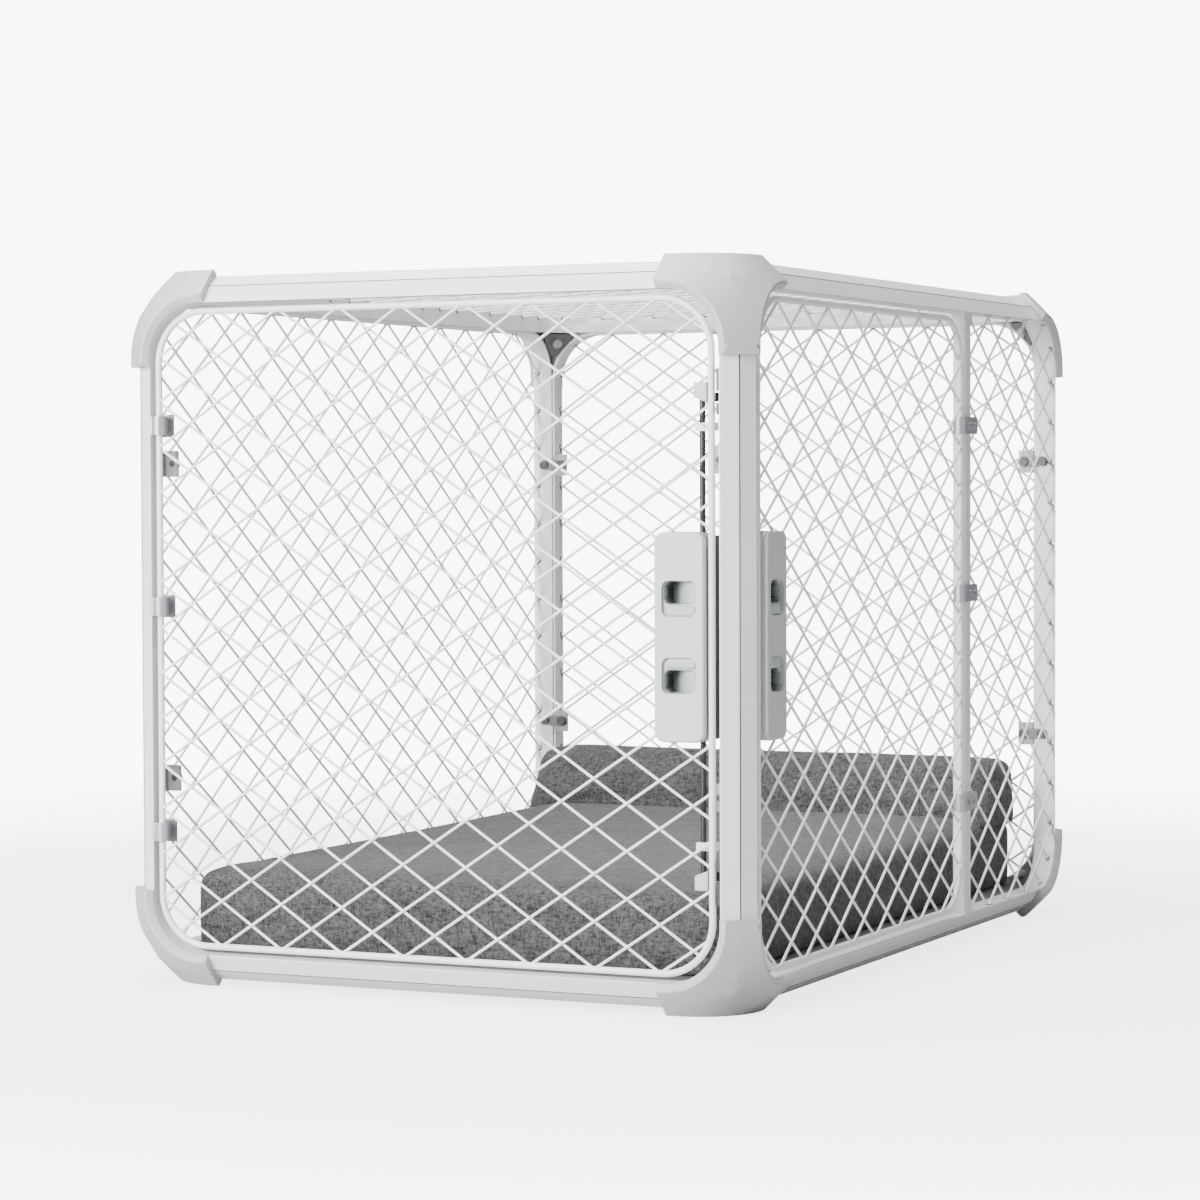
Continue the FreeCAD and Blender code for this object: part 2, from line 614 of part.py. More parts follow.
def front_cuff(z):
    """Bearing cuff round the door rod, screwed through an inner strap to the post's wall."""
    z0 = z - CUFF_TALL / 2
    barrel = Part.makeCylinder(CUFF_RADIUS, CUFF_TALL, Vec(0, DOOR_DEPTH, z0))
    foot = block(-ROD_R - DOOR_GAP, 0, DOOR_DEPTH - CUFF_RADIUS + 2.0, RAIL_DEPTH - 6.0, z0, z0 + CUFF_TALL)
    return barrel.fuse(foot).removeSplitter().cut(cuff_bore(z))


def front_strap(z):
    """Steel strap behind the cuff, in the corner of the frame."""
    z0 = z - CUFF_TALL / 2 - 2.0
    depth = RAIL_DEPTH - 6.0
    strap = block(-ROD_R - DOOR_GAP, CUFF_RADIUS, depth, depth + STRAP_THICK, z0, z0 + CUFF_TALL + 4.0)
    hole_start = Vec(-ROD_R, 0, z)
    return strap.cut(rod(SCREW / 2 + RUNNING_FIT, hole_start, hole_start + Vec(0, 2 * RAIL_DEPTH, 0)))


def front_hinge_screw(z):
    """Screw through the strap into the cuff's foot."""
    return screw(Vec(-ROD_R, RAIL_DEPTH - 6.0 + STRAP_THICK, z), Vec(0, -1, 0), STRAP_THICK + 6.0)


def drilled_front_cuff(z):
    hole = rod(SCREW / 2 + RUNNING_FIT, Vec(-ROD_R, RAIL_DEPTH - 12.3, z), Vec(-ROD_R, RAIL_DEPTH, z))
    return front_cuff(z).cut(hole)


def leaf_screw_places(z):
    """Two screws through a leaf into the hinge post."""
    face = -ROD_R - DOOR_GAP
    return [Vec(face - LEAF_LENGTH * share, 1.0 - LEAF_THICK, z) for share in (0.2, 0.62)]


def side_cuff(z):
    """Bearing cuff with an outer leaf that lies over the hinge post."""
    z0 = z - CUFF_TALL / 2
    face = -ROD_R - DOOR_GAP
    barrel = Part.makeCylinder(CUFF_RADIUS, CUFF_TALL, Vec(0, DOOR_DEPTH, z0))
    foot = block(face, 0, 1.0 - LEAF_THICK, DOOR_DEPTH + 4.0, z0, z0 + CUFF_TALL)
    leaf = rounded_slab(face - LEAF_LENGTH, ROD_R, z0, z0 + CUFF_TALL, LEAF_THICK, 1.0 - LEAF_THICK, 1.0)
    cuff = barrel.fuse([foot, leaf]).removeSplitter().cut(cuff_bore(z))
    for place in leaf_screw_places(z):
        cuff = cuff.cut(rod(SCREW / 2 + RUNNING_FIT, place - Vec(0, 1, 0), place + Vec(0, LEAF_THICK + 1, 0)))
    return cuff


def hinge_post():
    """Flat oval tube between the top and bottom rails of the right side, with a shoe at each end."""
    face = -ROD_R - DOOR_GAP
    z0 = BASE + RAIL_REACH
    z1 = TOP - RAIL_REACH
    shoe = 12.0
    outer = oval(face - HINGE_POST_WIDTH, face, 1.0, 1.0 + HINGE_POST_THICK, z0 + shoe, z1 - shoe)
    inner = oval(face - HINGE_POST_WIDTH + POST_WALL, face - POST_WALL, 1.0 + POST_WALL,
                 1.0 + HINGE_POST_THICK - POST_WALL, z0, z1)
    tube = outer.cut(inner)
    for z in cuff_places():
        for place in leaf_screw_places(z):
            tube = tube.cut(rod(SCREW / 2 + RUNNING_FIT, place, place + Vec(0, LEAF_THICK + 6.0, 0)))
    shoes = []
    for low in (z0, z1 - shoe):
        shoes.append(block(face - HINGE_POST_WIDTH, face, 1.0, 1.0 + HINGE_POST_THICK, low, low + shoe))
    return group([tube] + shoes)


def oval(x0, x1, y0, y1, z0, z1):
    """Upright bar whose plan is a rectangle with two round ends."""
    radius = (y1 - y0) / 2
    middle = (y0 + y1) / 2
    bar = block(x0 + radius, x1 - radius, y0, y1, z0, z1)
    for x in (x0 + radius, x1 - radius):
        bar = bar.fuse(Part.makeCylinder(radius, z1 - z0, Vec(x, middle, z0)))
    return bar.removeSplitter()


# ------------------------------------------------------------------ panel clips (corner coordinates)

def clip_plate(z):
    """Angle plate on the front or back frame that carries the lever's rivet."""
    wall = RAIL_REACH
    face = RAIL_DEPTH + LEVER_GAP
    z0 = z - CLIP_TALL / 2
    leg = block(wall, wall + CLIP_THICK, PANEL_MESH_DEPTH + WIRE / 2 + 4.0, face + CLIP_THICK, z0, z0 + CLIP_TALL)
    tab = block(wall, wall + CLIP_LEG, face, face + CLIP_THICK, z0, z0 + CLIP_TALL)
    plate = leg.fuse(tab).removeSplitter()
    return plate.cut(rod(CLIP_PIN / 2, Vec(CLIP_PIVOT, 0, z), Vec(CLIP_PIVOT, 2 * face, z)))


def lever_depths():
    low = RAIL_DEPTH + 2 * LEVER_GAP + CLIP_THICK
    low = max(low, RAIL_REACH + LEVER_GAP)
    return low, low + LEVER_THICK


def clip_rivet(z):
    """Pivot rivet through the plate and the lever."""
    low, high = lever_depths()
    start = RAIL_DEPTH + LEVER_GAP
    pin = rod(CLIP_PIN / 2, Vec(CLIP_PIVOT, start, z), Vec(CLIP_PIVOT, high + LEVER_GAP, z))
    head = rod(CLIP_PIN * 0.8, Vec(CLIP_PIVOT, high + LEVER_GAP, z), Vec(CLIP_PIVOT, high + 2.3, z))
    return pin.fuse(head)


def clip_stud(z):
    """Headed stud on the side frame's wall that the lever hooks over."""
    low, high = lever_depths()
    pin = rod(CLIP_PIN / 2, Vec(CLIP_STUD, RAIL_REACH, z), Vec(CLIP_STUD, high + LEVER_GAP, z))
    head = rod(CLIP_PIN * 0.8, Vec(CLIP_STUD, high + LEVER_GAP, z), Vec(CLIP_STUD, high + 2.3, z))
    return pin.fuse(head)


def clip_lever(z):
    """Flat hook: round eye on the rivet, open slot over the stud, thumb tip."""
    low, high = lever_depths()
    half = LEVER_WIDE / 2
    eye = rod(half, Vec(CLIP_PIVOT, low, z), Vec(CLIP_PIVOT, high, z))
    arm = block(CLIP_STUD, CLIP_PIVOT, low, high, z - half, z + half)
    tip = rod(half, Vec(CLIP_STUD, low, z), Vec(CLIP_STUD, high, z))
    lever = eye.fuse([arm, tip]).removeSplitter()
    bore = CLIP_PIN / 2 + RUNNING_FIT
    slot = CLIP_PIN / 2 + 0.5
    lever = lever.cut(rod(bore, Vec(CLIP_PIVOT, 0, z), Vec(CLIP_PIVOT, 2 * high, z)))
    lever = lever.cut(rod(slot, Vec(CLIP_STUD, 0, z), Vec(CLIP_STUD, 2 * high, z)))
    return lever.cut(block(CLIP_STUD - slot, CLIP_STUD + slot + 1.0, 0, 2 * high, z - LEVER_WIDE, z))


def at_edge(shape, right, back):
    """Corner coordinates to one of the four upright edges; heights stay as they are."""
    placed = shape.copy()
    if right:
        placed = placed.mirror(Vec(0, 0, 0), Vec(1, 0, 0))
    if back:
        placed = placed.mirror(Vec(0, 0, 0), Vec(0, 1, 0))
    placed.translate(Vec(HALF_W if right else -HALF_W, HALF_L if back else -HALF_L, 0))
    return placed


# ------------------------------------------------------------------ bed

def flat_slab(half_x, y0, y1, z0, z1, corner):
    """Slab with rounded plan corners."""
    slab = rounded_slab(-half_x, half_x, y0, y1, corner, 0, z1 - z0)
    slab.rotate(Vec(0, 0, 0), Vec(1, 0, 0), 90)
    slab = slab.mirror(Vec(0, 0, 0), Vec(0, 1, 0))
    slab.translate(Vec(0, 0, z0))
    return slab


def floor_board():
    """Thin board that rests on the ledge of the bottom frame."""
    inset = RAIL_DEPTH + BOARD_MARGIN
    gusset_reach = (GUSSET_SUM + 2 * GUSSET_THICK - RAIL_DEPTH) / 2
    corner = (gusset_reach - inset) / (1 - math.sqrt(0.5))
    return flat_slab(HALF_W - inset, -HALF_L + inset, HALF_L - inset, BOARD_Z, BOARD_Z + BOARD_THICK,
                     corner)


def soften(solid, radius):
    """Round the top and bottom rims of a slab."""
    low = solid.BoundBox.ZMin
    high = solid.BoundBox.ZMax
    rims = [edge for edge in solid.Edges if edge.BoundBox.ZLength < 0.01
            and (abs(edge.BoundBox.ZMin - low) < 0.01 or abs(edge.BoundBox.ZMin - high) < 0.01)]
    return solid.makeFillet(radius, rims)


def mattress():
    half = HALF_W - MATTRESS_MARGIN
    slab = flat_slab(half, -HALF_L + MATTRESS_MARGIN, HALF_L - MATTRESS_MARGIN, MATTRESS_Z,
                     MATTRESS_Z + MATTRESS_THICK, MATTRESS_CORNER)
    return soften(slab, min(16.0, MATTRESS_THICK * 0.4))


def bolster():
    half = HALF_W - MATTRESS_MARGIN - BOLSTER_INSET
    rear = HALF_L - MATTRESS_MARGIN
    slab = flat_slab(half, rear - BOLSTER_DEPTH, rear, BOLSTER_Z, BOLSTER_Z + BOLSTER_THICK,
                     min(MATTRESS_CORNER, BOLSTER_DEPTH * 0.4))
    return soften(slab, min(26.0, BOLSTER_THICK * 0.35))


# ------------------------------------------------------------------ writing the nodes

NODES = {}


def add(name, shape):
    NODES[name] = shape


def add_frames():
    for side, (width, height, _, _, _) in PANELS.items():
        add(side + "_frame", place_panel(panel_frame(width, height), side))
    for side in ("back", "left", "top", "bottom"):
        width, height = PANELS[side][:2]
        add(side + "_mesh", place_panel(framed_mesh(width, height), side))
    post_rear = POST_FACE_Y + HINGE_POST_WIDTH
    rear_mesh = framed_mesh(FRAME_LENGTH, FRAME_HEIGHT, x0=post_rear)
    add("right_rear_mesh", place_panel(rear_mesh, "right"))
    add("hinge_post", place_side(hinge_post()))


def add_corners():
    cap = corner_cap()
    gussets = []
    bolts = []
    for right in (False, True):
        for back in (False, True):
            for top in (False, True):
                name = "cap_" + ("back" if back else "front") + ("_right" if right else "_left")
                add(name + ("_top" if top else "_bottom"), place_corner(cap, right, back, top))
                gussets.append(place_corner(gusset(), right, back, top))
                bolts.append(place_corner(gusset_bolt(), right, back, top))
    add("corner_gussets", group(gussets))
    return bolts


def add_door(name, place):
    add(name + "_door_rod", place(door_rod()))
    add(name + "_door_mesh", place(door_mesh()))
    add(name + "_latch_cover", place(latch_cover()))
    add(name + "_latch_back", place(latch_back()))
    add(name + "_latch_screws", place(latch_screws()))
    add(name + "_rod_guides", place(rod_guides()))
    add(name + "_latch_spring", place(latch_spring()))
    add(name + "_upper_slider", place(upper_slider()))
    add(name + "_lower_slider", place(flip(upper_slider())))
    add(name + "_upper_latch_rod", place(upper_latch_rod()))
    add(name + "_lower_latch_rod", place(flip(upper_latch_rod())))


def add_door_fittings(screws):
    heights = cuff_places()
    cuffs = [place_front(drilled_front_cuff(z)) for z in heights]
    cuffs.extend(place_side(side_cuff(z)) for z in heights)
    add("hinge_cuffs", group(cuffs))
    add("front_hinge_straps", group([place_front(front_strap(z)) for z in heights]))
    screws.extend(place_front(front_hinge_screw(z)) for z in heights)
    for z in heights:
        for place in leaf_screw_places(z):
            screws.append(place_side(screw(place, Vec(0, 1, 0), LEAF_THICK + 4.0)))
    add("frame_screws", group(screws))
    keepers = []
    for place in (place_front, place_side):
        keepers.append(place(upper_keeper()))
        keepers.append(place(flip(upper_keeper())))
    add("keepers", group(keepers))


def add_clips():
    plates = []
    pins = []
    for right in (False, True):
        for back in (False, True):
            edge = ("back" if back else "front") + ("_right" if right else "_left")
            for level, z in zip(("lower", "upper"), CLIP_HEIGHTS):
                plates.append(at_edge(clip_plate(z), right, back))
                pins.append(at_edge(clip_rivet(z), right, back))
                pins.append(at_edge(clip_stud(z), right, back))
                add("clip_lever_" + edge + "_" + level, at_edge(clip_lever(z), right, back))
    add("clip_plates", group(plates))
    add("clip_pins", group(pins))


def add_bed():
    add("floor_board", floor_board())
    add("mattress", mattress())
    add("bolster", bolster())


os.makedirs("parts", exist_ok=True)
add_frames()
fasteners = add_corners()
add_door("front", place_front)
add_door("side", place_side)
add_door_fittings(fasteners)
add_clips()
add_bed()
for node, shape in NODES.items():
    shape.exportStep("parts/" + node + ".step")
    print(node, len(shape.Solids), "valid" if shape.isValid() else "NOT VALID", round(shape.Volume / 1000, 1))
print(len(NODES), "nodes")
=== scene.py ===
# %% [markdown]
# A wire pet crate: six framed panels, diamond mesh, moulded corner caps, two latching doors and a bed.
# The hard parts come from the CAD frame and get their finishes here. The wires are built again as two
# crossing layers, because welded mesh is made that way, and the bed is built again as real cushions.

# %% Load the frame
import json
import math
import bpy
import bmesh
from mathutils import Matrix, Vector


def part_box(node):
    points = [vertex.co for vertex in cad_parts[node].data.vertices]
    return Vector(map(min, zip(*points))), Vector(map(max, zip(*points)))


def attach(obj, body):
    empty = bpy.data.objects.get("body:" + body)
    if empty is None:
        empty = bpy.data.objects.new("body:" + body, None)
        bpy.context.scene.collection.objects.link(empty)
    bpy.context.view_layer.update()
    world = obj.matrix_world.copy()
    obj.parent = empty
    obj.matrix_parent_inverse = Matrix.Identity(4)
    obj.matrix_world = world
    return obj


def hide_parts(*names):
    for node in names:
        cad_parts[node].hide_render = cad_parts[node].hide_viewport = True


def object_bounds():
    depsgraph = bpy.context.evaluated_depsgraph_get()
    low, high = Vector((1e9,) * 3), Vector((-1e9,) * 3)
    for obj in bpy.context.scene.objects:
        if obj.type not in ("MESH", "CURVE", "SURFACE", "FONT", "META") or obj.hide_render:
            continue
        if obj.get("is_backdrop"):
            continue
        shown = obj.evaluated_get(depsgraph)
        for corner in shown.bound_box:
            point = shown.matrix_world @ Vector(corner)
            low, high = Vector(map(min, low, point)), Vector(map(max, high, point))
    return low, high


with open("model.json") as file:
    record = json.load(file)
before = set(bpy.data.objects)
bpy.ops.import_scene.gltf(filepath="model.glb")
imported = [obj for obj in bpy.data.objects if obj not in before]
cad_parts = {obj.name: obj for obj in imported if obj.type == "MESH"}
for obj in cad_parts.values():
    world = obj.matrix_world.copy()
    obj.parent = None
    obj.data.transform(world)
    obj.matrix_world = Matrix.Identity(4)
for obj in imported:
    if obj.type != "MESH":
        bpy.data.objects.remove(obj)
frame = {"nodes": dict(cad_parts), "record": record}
cad_low, cad_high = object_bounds()
nodes = frame["nodes"]
print("CAD box", [round(v, 4) for v in cad_low], [round(v, 4) for v in cad_high])

# %% [markdown]
# The camera stands in front of the crate's right corner, a little above the middle of its height, and
# looks slightly down through a long lens, so the sides stay nearly parallel. A lens shift only frames it.

# %% Camera
EYE = Vector((1.4516, -3.3415, 0.4639))
YAW = 0.4685
PITCH = -0.0377
ROLL = -0.0055
LENS = 109.7                    # focal length in millimetres
SHIFT = (0.154, 0.015)          # framing only
camera_data = bpy.data.cameras.new("camera")
camera_data.lens = LENS
camera_data.shift_x, camera_data.shift_y = SHIFT
camera = bpy.data.objects.new("camera", camera_data)
bpy.context.scene.collection.objects.link(camera)
forward = Vector((-math.sin(YAW) * math.cos(PITCH), math.cos(YAW) * math.cos(PITCH), math.sin(PITCH)))
camera.location = EYE
camera.rotation_mode = "QUATERNION"
roll_turn = Matrix.Rotation(ROLL, 4, "Z").to_quaternion()
camera.rotation_quaternion = forward.to_track_quat("-Z", "Y") @ roll_turn
bpy.context.scene.camera = camera
print("camera", tuple(round(v, 3) for v in camera.location), camera_data.lens)

# %% [markdown]
# Plain soft studio light: a wide panel overhead, a large one at the front left, and a pale world that
# fills the shadows. The right side stays a little darker, which shows the crate's shape.

# %% Floor and lights
def area_light(name, place, target, size, power, colour):
    """Square soft light that looks at a target point."""
    data = bpy.data.lights.new(name, "AREA")
    data.size = size
    data.energy = power
    data.color = colour
    light = bpy.data.objects.new(name, data)
    light.location = place
    light.rotation_mode = "QUATERNION"
    light.rotation_quaternion = (Vector(target) - Vector(place)).to_track_quat("-Z", "Y")
    bpy.context.scene.collection.objects.link(light)
    return light


area_light("overhead", (-0.3, 0.0, 3.0), (0, 0, 0.3), 2.4, 190.0, (1.0, 1.0, 1.0))
area_light("front_left", (-1.0, -3.5, 1.4), (0, 0, 0.3), 1.8, 345.0, (1.0, 0.998, 0.99))
area_light("right_fill", (3.4, -0.8, 1.0), (0, 0, 0.3), 1.8, 15.0, (0.86, 0.92, 1.0))

SEEN_WHITE = 9.0                # how bright the backdrop looks
ROOM_GLOW = 0.22                # how much light the room itself gives
world = bpy.data.worlds.new("studio")
world.use_nodes = True
sky = world.node_tree
seen = sky.nodes.new("ShaderNodeLightPath")
sky_strength = sky.nodes.new("ShaderNodeMapRange")
sky_strength.inputs["To Min"].default_value = ROOM_GLOW
sky_strength.inputs["To Max"].default_value = SEEN_WHITE
sky.links.new(seen.outputs["Is Camera Ray"], sky_strength.inputs["Value"])
sky.links.new(sky_strength.outputs["Result"], sky.nodes["Background"].inputs["Strength"])
sky.nodes["Background"].inputs["Color"].default_value = (1.0, 1.0, 1.0, 1.0)
bpy.context.scene.world = world

floor_mesh = bmesh.new()
bmesh.ops.create_grid(floor_mesh, x_segments=1, y_segments=1, size=30.0)
floor_data = bpy.data.meshes.new("studio_floor")
floor_mesh.to_mesh(floor_data)
floor_mesh.free()
floor = bpy.data.objects.new("studio_floor", floor_data)
bpy.context.scene.collection.objects.link(floor)
floor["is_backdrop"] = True

# %% [markdown]
# Every coated or moulded surface here has the same kind of detail: a fine grain that catches the light,
# slow patches where the gloss differs, and a little tone change. One node group makes all three, and
# each material places it with its own values.

# %% Surface grain group
def socket(group, name, kind, direction, default=None):
    """Adds one named socket to a node group."""
    made = group.interface.new_socket(name=name, in_out=direction, socket_type="NodeSocket" + kind)
    if default is not None:
        made.default_value = default
    return made


def math_node(tree, operation, first, second):
    """Math node whose inputs are links or plain numbers."""
    node = tree.nodes.new("ShaderNodeMath")
    node.operation = operation
    for slot_number, value in enumerate((first, second)):
        if isinstance(value, (int, float)):
            node.inputs[slot_number].default_value = value
        else:
            tree.links.new(value, node.inputs[slot_number])
    return node.outputs[0]


def noise(tree, vector, scale, detail=2.0, roughness=0.5):
    """Noise texture's value."""
    node = tree.nodes.new("ShaderNodeTexNoise")
    node.inputs["Detail"].default_value = detail
    node.inputs["Roughness"].default_value = roughness
    tree.links.new(vector, node.inputs["Vector"])
    if isinstance(scale, (int, float)):
        node.inputs["Scale"].default_value = scale
    else:
        tree.links.new(scale, node.inputs["Scale"])
    return node.outputs["Fac"]


def mix_colour(tree, factor, first, second):
    """Colour between two colours."""
    node = tree.nodes.new("ShaderNodeMix")
    node.data_type = "RGBA"
    tree.links.new(factor, node.inputs["Factor"])
    for name, value in (("A", first), ("B", second)):
        target = next(s for s in node.inputs if s.name == name and s.type == "RGBA")
        if isinstance(value, tuple):
            target.default_value = value
        else:
            tree.links.new(value, target)
    return next(s for s in node.outputs if s.type == "RGBA")


grain_group = bpy.data.node_groups.new("surface_grain", "ShaderNodeTree")
socket(grain_group, "Vector", "Vector", "INPUT")
socket(grain_group, "Tone", "Color", "INPUT", (0.8, 0.8, 0.8, 1.0))
socket(grain_group, "Shade Tone", "Color", "INPUT", (0.7, 0.7, 0.7, 1.0))
socket(grain_group, "Grain Scale", "Float", "INPUT", 900.0)
socket(grain_group, "Gloss Low", "Float", "INPUT", 0.35)
socket(grain_group, "Gloss High", "Float", "INPUT", 0.5)
socket(grain_group, "Color", "Color", "OUTPUT")
socket(grain_group, "Roughness", "Float", "OUTPUT")
socket(grain_group, "Height", "Float", "OUTPUT")
grain_in = grain_group.nodes.new("NodeGroupInput")
grain_out = grain_group.nodes.new("NodeGroupOutput")
slow = noise(grain_group, grain_in.outputs["Vector"], 7.0, 3.0)
speck = noise(grain_group, grain_in.outputs["Vector"], 160.0, 4.0, 0.7)
fine = noise(grain_group, grain_in.outputs["Vector"], grain_in.outputs["Grain Scale"], 2.0)
tone_mask = math_node(grain_group, "MULTIPLY_ADD", slow, 0.75)
grain_group.links.new(math_node(grain_group, "MULTIPLY", speck, 0.25), tone_mask.node.inputs[2])
tone = mix_colour(grain_group, tone_mask, grain_in.outputs["Shade Tone"], grain_in.outputs["Tone"])
spread = math_node(grain_group, "SUBTRACT", grain_in.outputs["Gloss High"], grain_in.outputs["Gloss Low"])
gloss = math_node(grain_group, "MULTIPLY_ADD", spread, speck)
grain_group.links.new(grain_in.outputs["Gloss Low"], gloss.node.inputs[2])
grain_group.links.new(tone, grain_out.inputs["Color"])
grain_group.links.new(gloss, grain_out.inputs["Roughness"])
grain_group.links.new(fine, grain_out.inputs["Height"])
print("group", grain_group.name, len(grain_group.nodes), "nodes")

# %% [markdown]
# The white coat on the rails and wires, the grey moulded plastic, the plated steel and the board all
# place that group. Metal parts keep a plain metallic value on the shader itself.

# %% Hard finishes
def hard_finish(name, tone, shade, grain_scale, gloss_low, gloss_high, bump, metallic=0.0, coat=0.0):
    """Principled material with the surface grain group on colour, roughness and bump."""
    material = bpy.data.materials.new(name)
    material.use_nodes = True
    tree = material.node_tree
    shader = tree.nodes["Principled BSDF"]
    shader.inputs["Metallic"].default_value = metallic
    shader.inputs["Coat Weight"].default_value = coat
    shader.inputs["Coat Roughness"].default_value = 0.25
    place = tree.nodes.new("ShaderNodeTexCoord")
    grain = tree.nodes.new("ShaderNodeGroup")
    grain.node_tree = grain_group
    grain.inputs["Tone"].default_value = (*tone, 1.0)
    grain.inputs["Shade Tone"].default_value = (*shade, 1.0)
    grain.inputs["Grain Scale"].default_value = grain_scale
    grain.inputs["Gloss Low"].default_value = gloss_low
    grain.inputs["Gloss High"].default_value = gloss_high
    relief = tree.nodes.new("ShaderNodeBump")
    relief.inputs["Strength"].default_value = bump
    relief.inputs["Distance"].default_value = 0.0002
    tree.links.new(place.outputs["Object"], grain.inputs["Vector"])
    tree.links.new(grain.outputs["Color"], shader.inputs["Base Color"])
    tree.links.new(grain.outputs["Roughness"], shader.inputs["Roughness"])
    tree.links.new(grain.outputs["Height"], relief.inputs["Height"])
    tree.links.new(relief.outputs["Normal"], shader.inputs["Normal"])
    return material


rail_coat = hard_finish("rail_coat", (0.85, 0.85, 0.855), (0.80, 0.805, 0.815),
                        1100.0, 0.30, 0.46, 0.25, coat=0.15)
wire_coat = hard_finish("wire_coat", (0.90, 0.90, 0.90), (0.85, 0.85, 0.855),
                        1400.0, 0.28, 0.42, 0.2, coat=0.2)
cap_plastic = hard_finish("cap_plastic", (0.50, 0.50, 0.50), (0.46, 0.463, 0.466),
                          1500.0, 0.42, 0.58, 0.5)
plate_plastic = hard_finish("plate_plastic", (0.58, 0.58, 0.59), (0.54, 0.545, 0.555),
                            1600.0, 0.40, 0.55, 0.45)
slider_plastic = hard_finish("slider_plastic", (0.46, 0.50, 0.50), (0.41, 0.45, 0.45),
                             1600.0, 0.35, 0.5, 0.35)
dark_steel = hard_finish("dark_steel", (0.07, 0.07, 0.072), (0.04, 0.04, 0.042),
                         700.0, 0.30, 0.5, 0.3, metallic=0.7)
grey_steel = hard_finish("grey_steel", (0.16, 0.165, 0.165), (0.11, 0.115, 0.115),
                         900.0, 0.35, 0.55, 0.3, metallic=0.35)
bracket_steel = hard_finish("bracket_steel", (0.50, 0.51, 0.53), (0.40, 0.41, 0.43),
                            900.0, 0.28, 0.45, 0.3, metallic=0.5)
mid_steel = hard_finish("mid_steel", (0.30, 0.305, 0.31), (0.22, 0.225, 0.23),
                        900.0, 0.32, 0.5, 0.3, metallic=0.4)
board_plastic = hard_finish("board_plastic", (0.16, 0.16, 0.165), (0.12, 0.12, 0.125),
                            600.0, 0.5, 0.7, 0.6)
# Near-black painted shade, used for the discs in the wire holes and for the strips beside the latches.
painted_gap_shade = hard_finish("painted_shade_dark", (0.05, 0.05, 0.052), (0.035, 0.035, 0.037), 900.0, 0.6, 0.8, 0.4)
floor_paint = hard_finish("floor_paint", (0.50, 0.50, 0.50), (0.49, 0.49, 0.49), 200.0, 0.7, 0.8, 0.05)
print("hard finishes", len(bpy.data.materials))

# %% [markdown]
# A slider's hollow is deep and hardly lit on its far side, and that shade is painted into the plastic. Each
# point of the slider carries how much painted shade it gets, from how far it lies in that hollow and how
# near its far side, as a point attribute, and the plastic's colour gets darker with it.

# %% Painted shade in the slider hollows
# Near-black colour of the painted shade in the slider hollows.
PAINTED_SHADE_TONE = (0.040, 0.042, 0.045, 1.0)
slider_tree = slider_plastic.node_tree
slider_base = slider_tree.nodes["Principled BSDF"].inputs["Base Color"]
painted_hollow_shade = slider_tree.nodes.new("ShaderNodeAttribute")
painted_hollow_shade.attribute_name = "painted_hollow_shade"
slider_tone = mix_colour(slider_tree, painted_hollow_shade.outputs["Fac"], slider_base.links[0].from_socket, PAINTED_SHADE_TONE)
slider_tree.links.new(slider_tone, slider_base)
print("slider nodes", len(slider_tree.nodes))

# %% [markdown]
# The floor is plain and pale. To the camera alone it glows, more with distance, so it runs into the
# backdrop without a line. The crate gets no light from that glow, so its shadow sides stay soft grey.

# %% Floor finish
FADE_START = 0.6               # distance from the middle where the floor starts to brighten
FADE_END = 2.6
NEAR_GLOW = 3.4
floor_tree = floor_paint.node_tree
floor_place = floor_tree.nodes.new("ShaderNodeTexCoord")
floor_reach = floor_tree.nodes.new("ShaderNodeVectorMath")
floor_reach.operation = "LENGTH"
floor_fade = floor_tree.nodes.new("ShaderNodeMapRange")
floor_fade.interpolation_type = "SMOOTHSTEP"
floor_fade.inputs["From Min"].default_value = FADE_START
floor_fade.inputs["From Max"].default_value = FADE_END
floor_fade.inputs["To Min"].default_value = NEAR_GLOW
floor_fade.inputs["To Max"].default_value = SEEN_WHITE
floor_seen = floor_tree.nodes.new("ShaderNodeLightPath")
floor_shader = floor_tree.nodes["Principled BSDF"]
floor_shader.inputs["Emission Color"].default_value = (1.0, 1.0, 1.0, 1.0)
floor_tree.links.new(floor_place.outputs["Object"], floor_reach.inputs[0])
floor_tree.links.new(floor_reach.outputs["Value"], floor_fade.inputs["Value"])
floor_glow = math_node(floor_tree, "MULTIPLY", floor_fade.outputs["Result"],
                       floor_seen.outputs["Is Camera Ray"])
floor_tree.links.new(floor_glow, floor_shader.inputs["Emission Strength"])
floor_data.materials.append(floor_paint)
print("finishes", len(bpy.data.materials))

# %% [markdown]
# Where two panel frames meet along a crate edge, their rails leave a narrow shadow line. That shadow is
# painted into the rail's own coat as a mask: a point is on it where its depths below two neighbouring faces
# are equal.

# %% Painted shadow line between rails
SEAM_HALF = 0.0009             # half the difference of depths that counts as the seam
SEAM_BELOW = 0.0215            # both depths together stay under this on the outside
# Dark colour of the painted shadow line along the seams.
SEAM_SHADOW_TONE = (0.10, 0.10, 0.105, 1.0)
CAP_STAND = 0.006              # how far the corner caps stand out beyond the frames


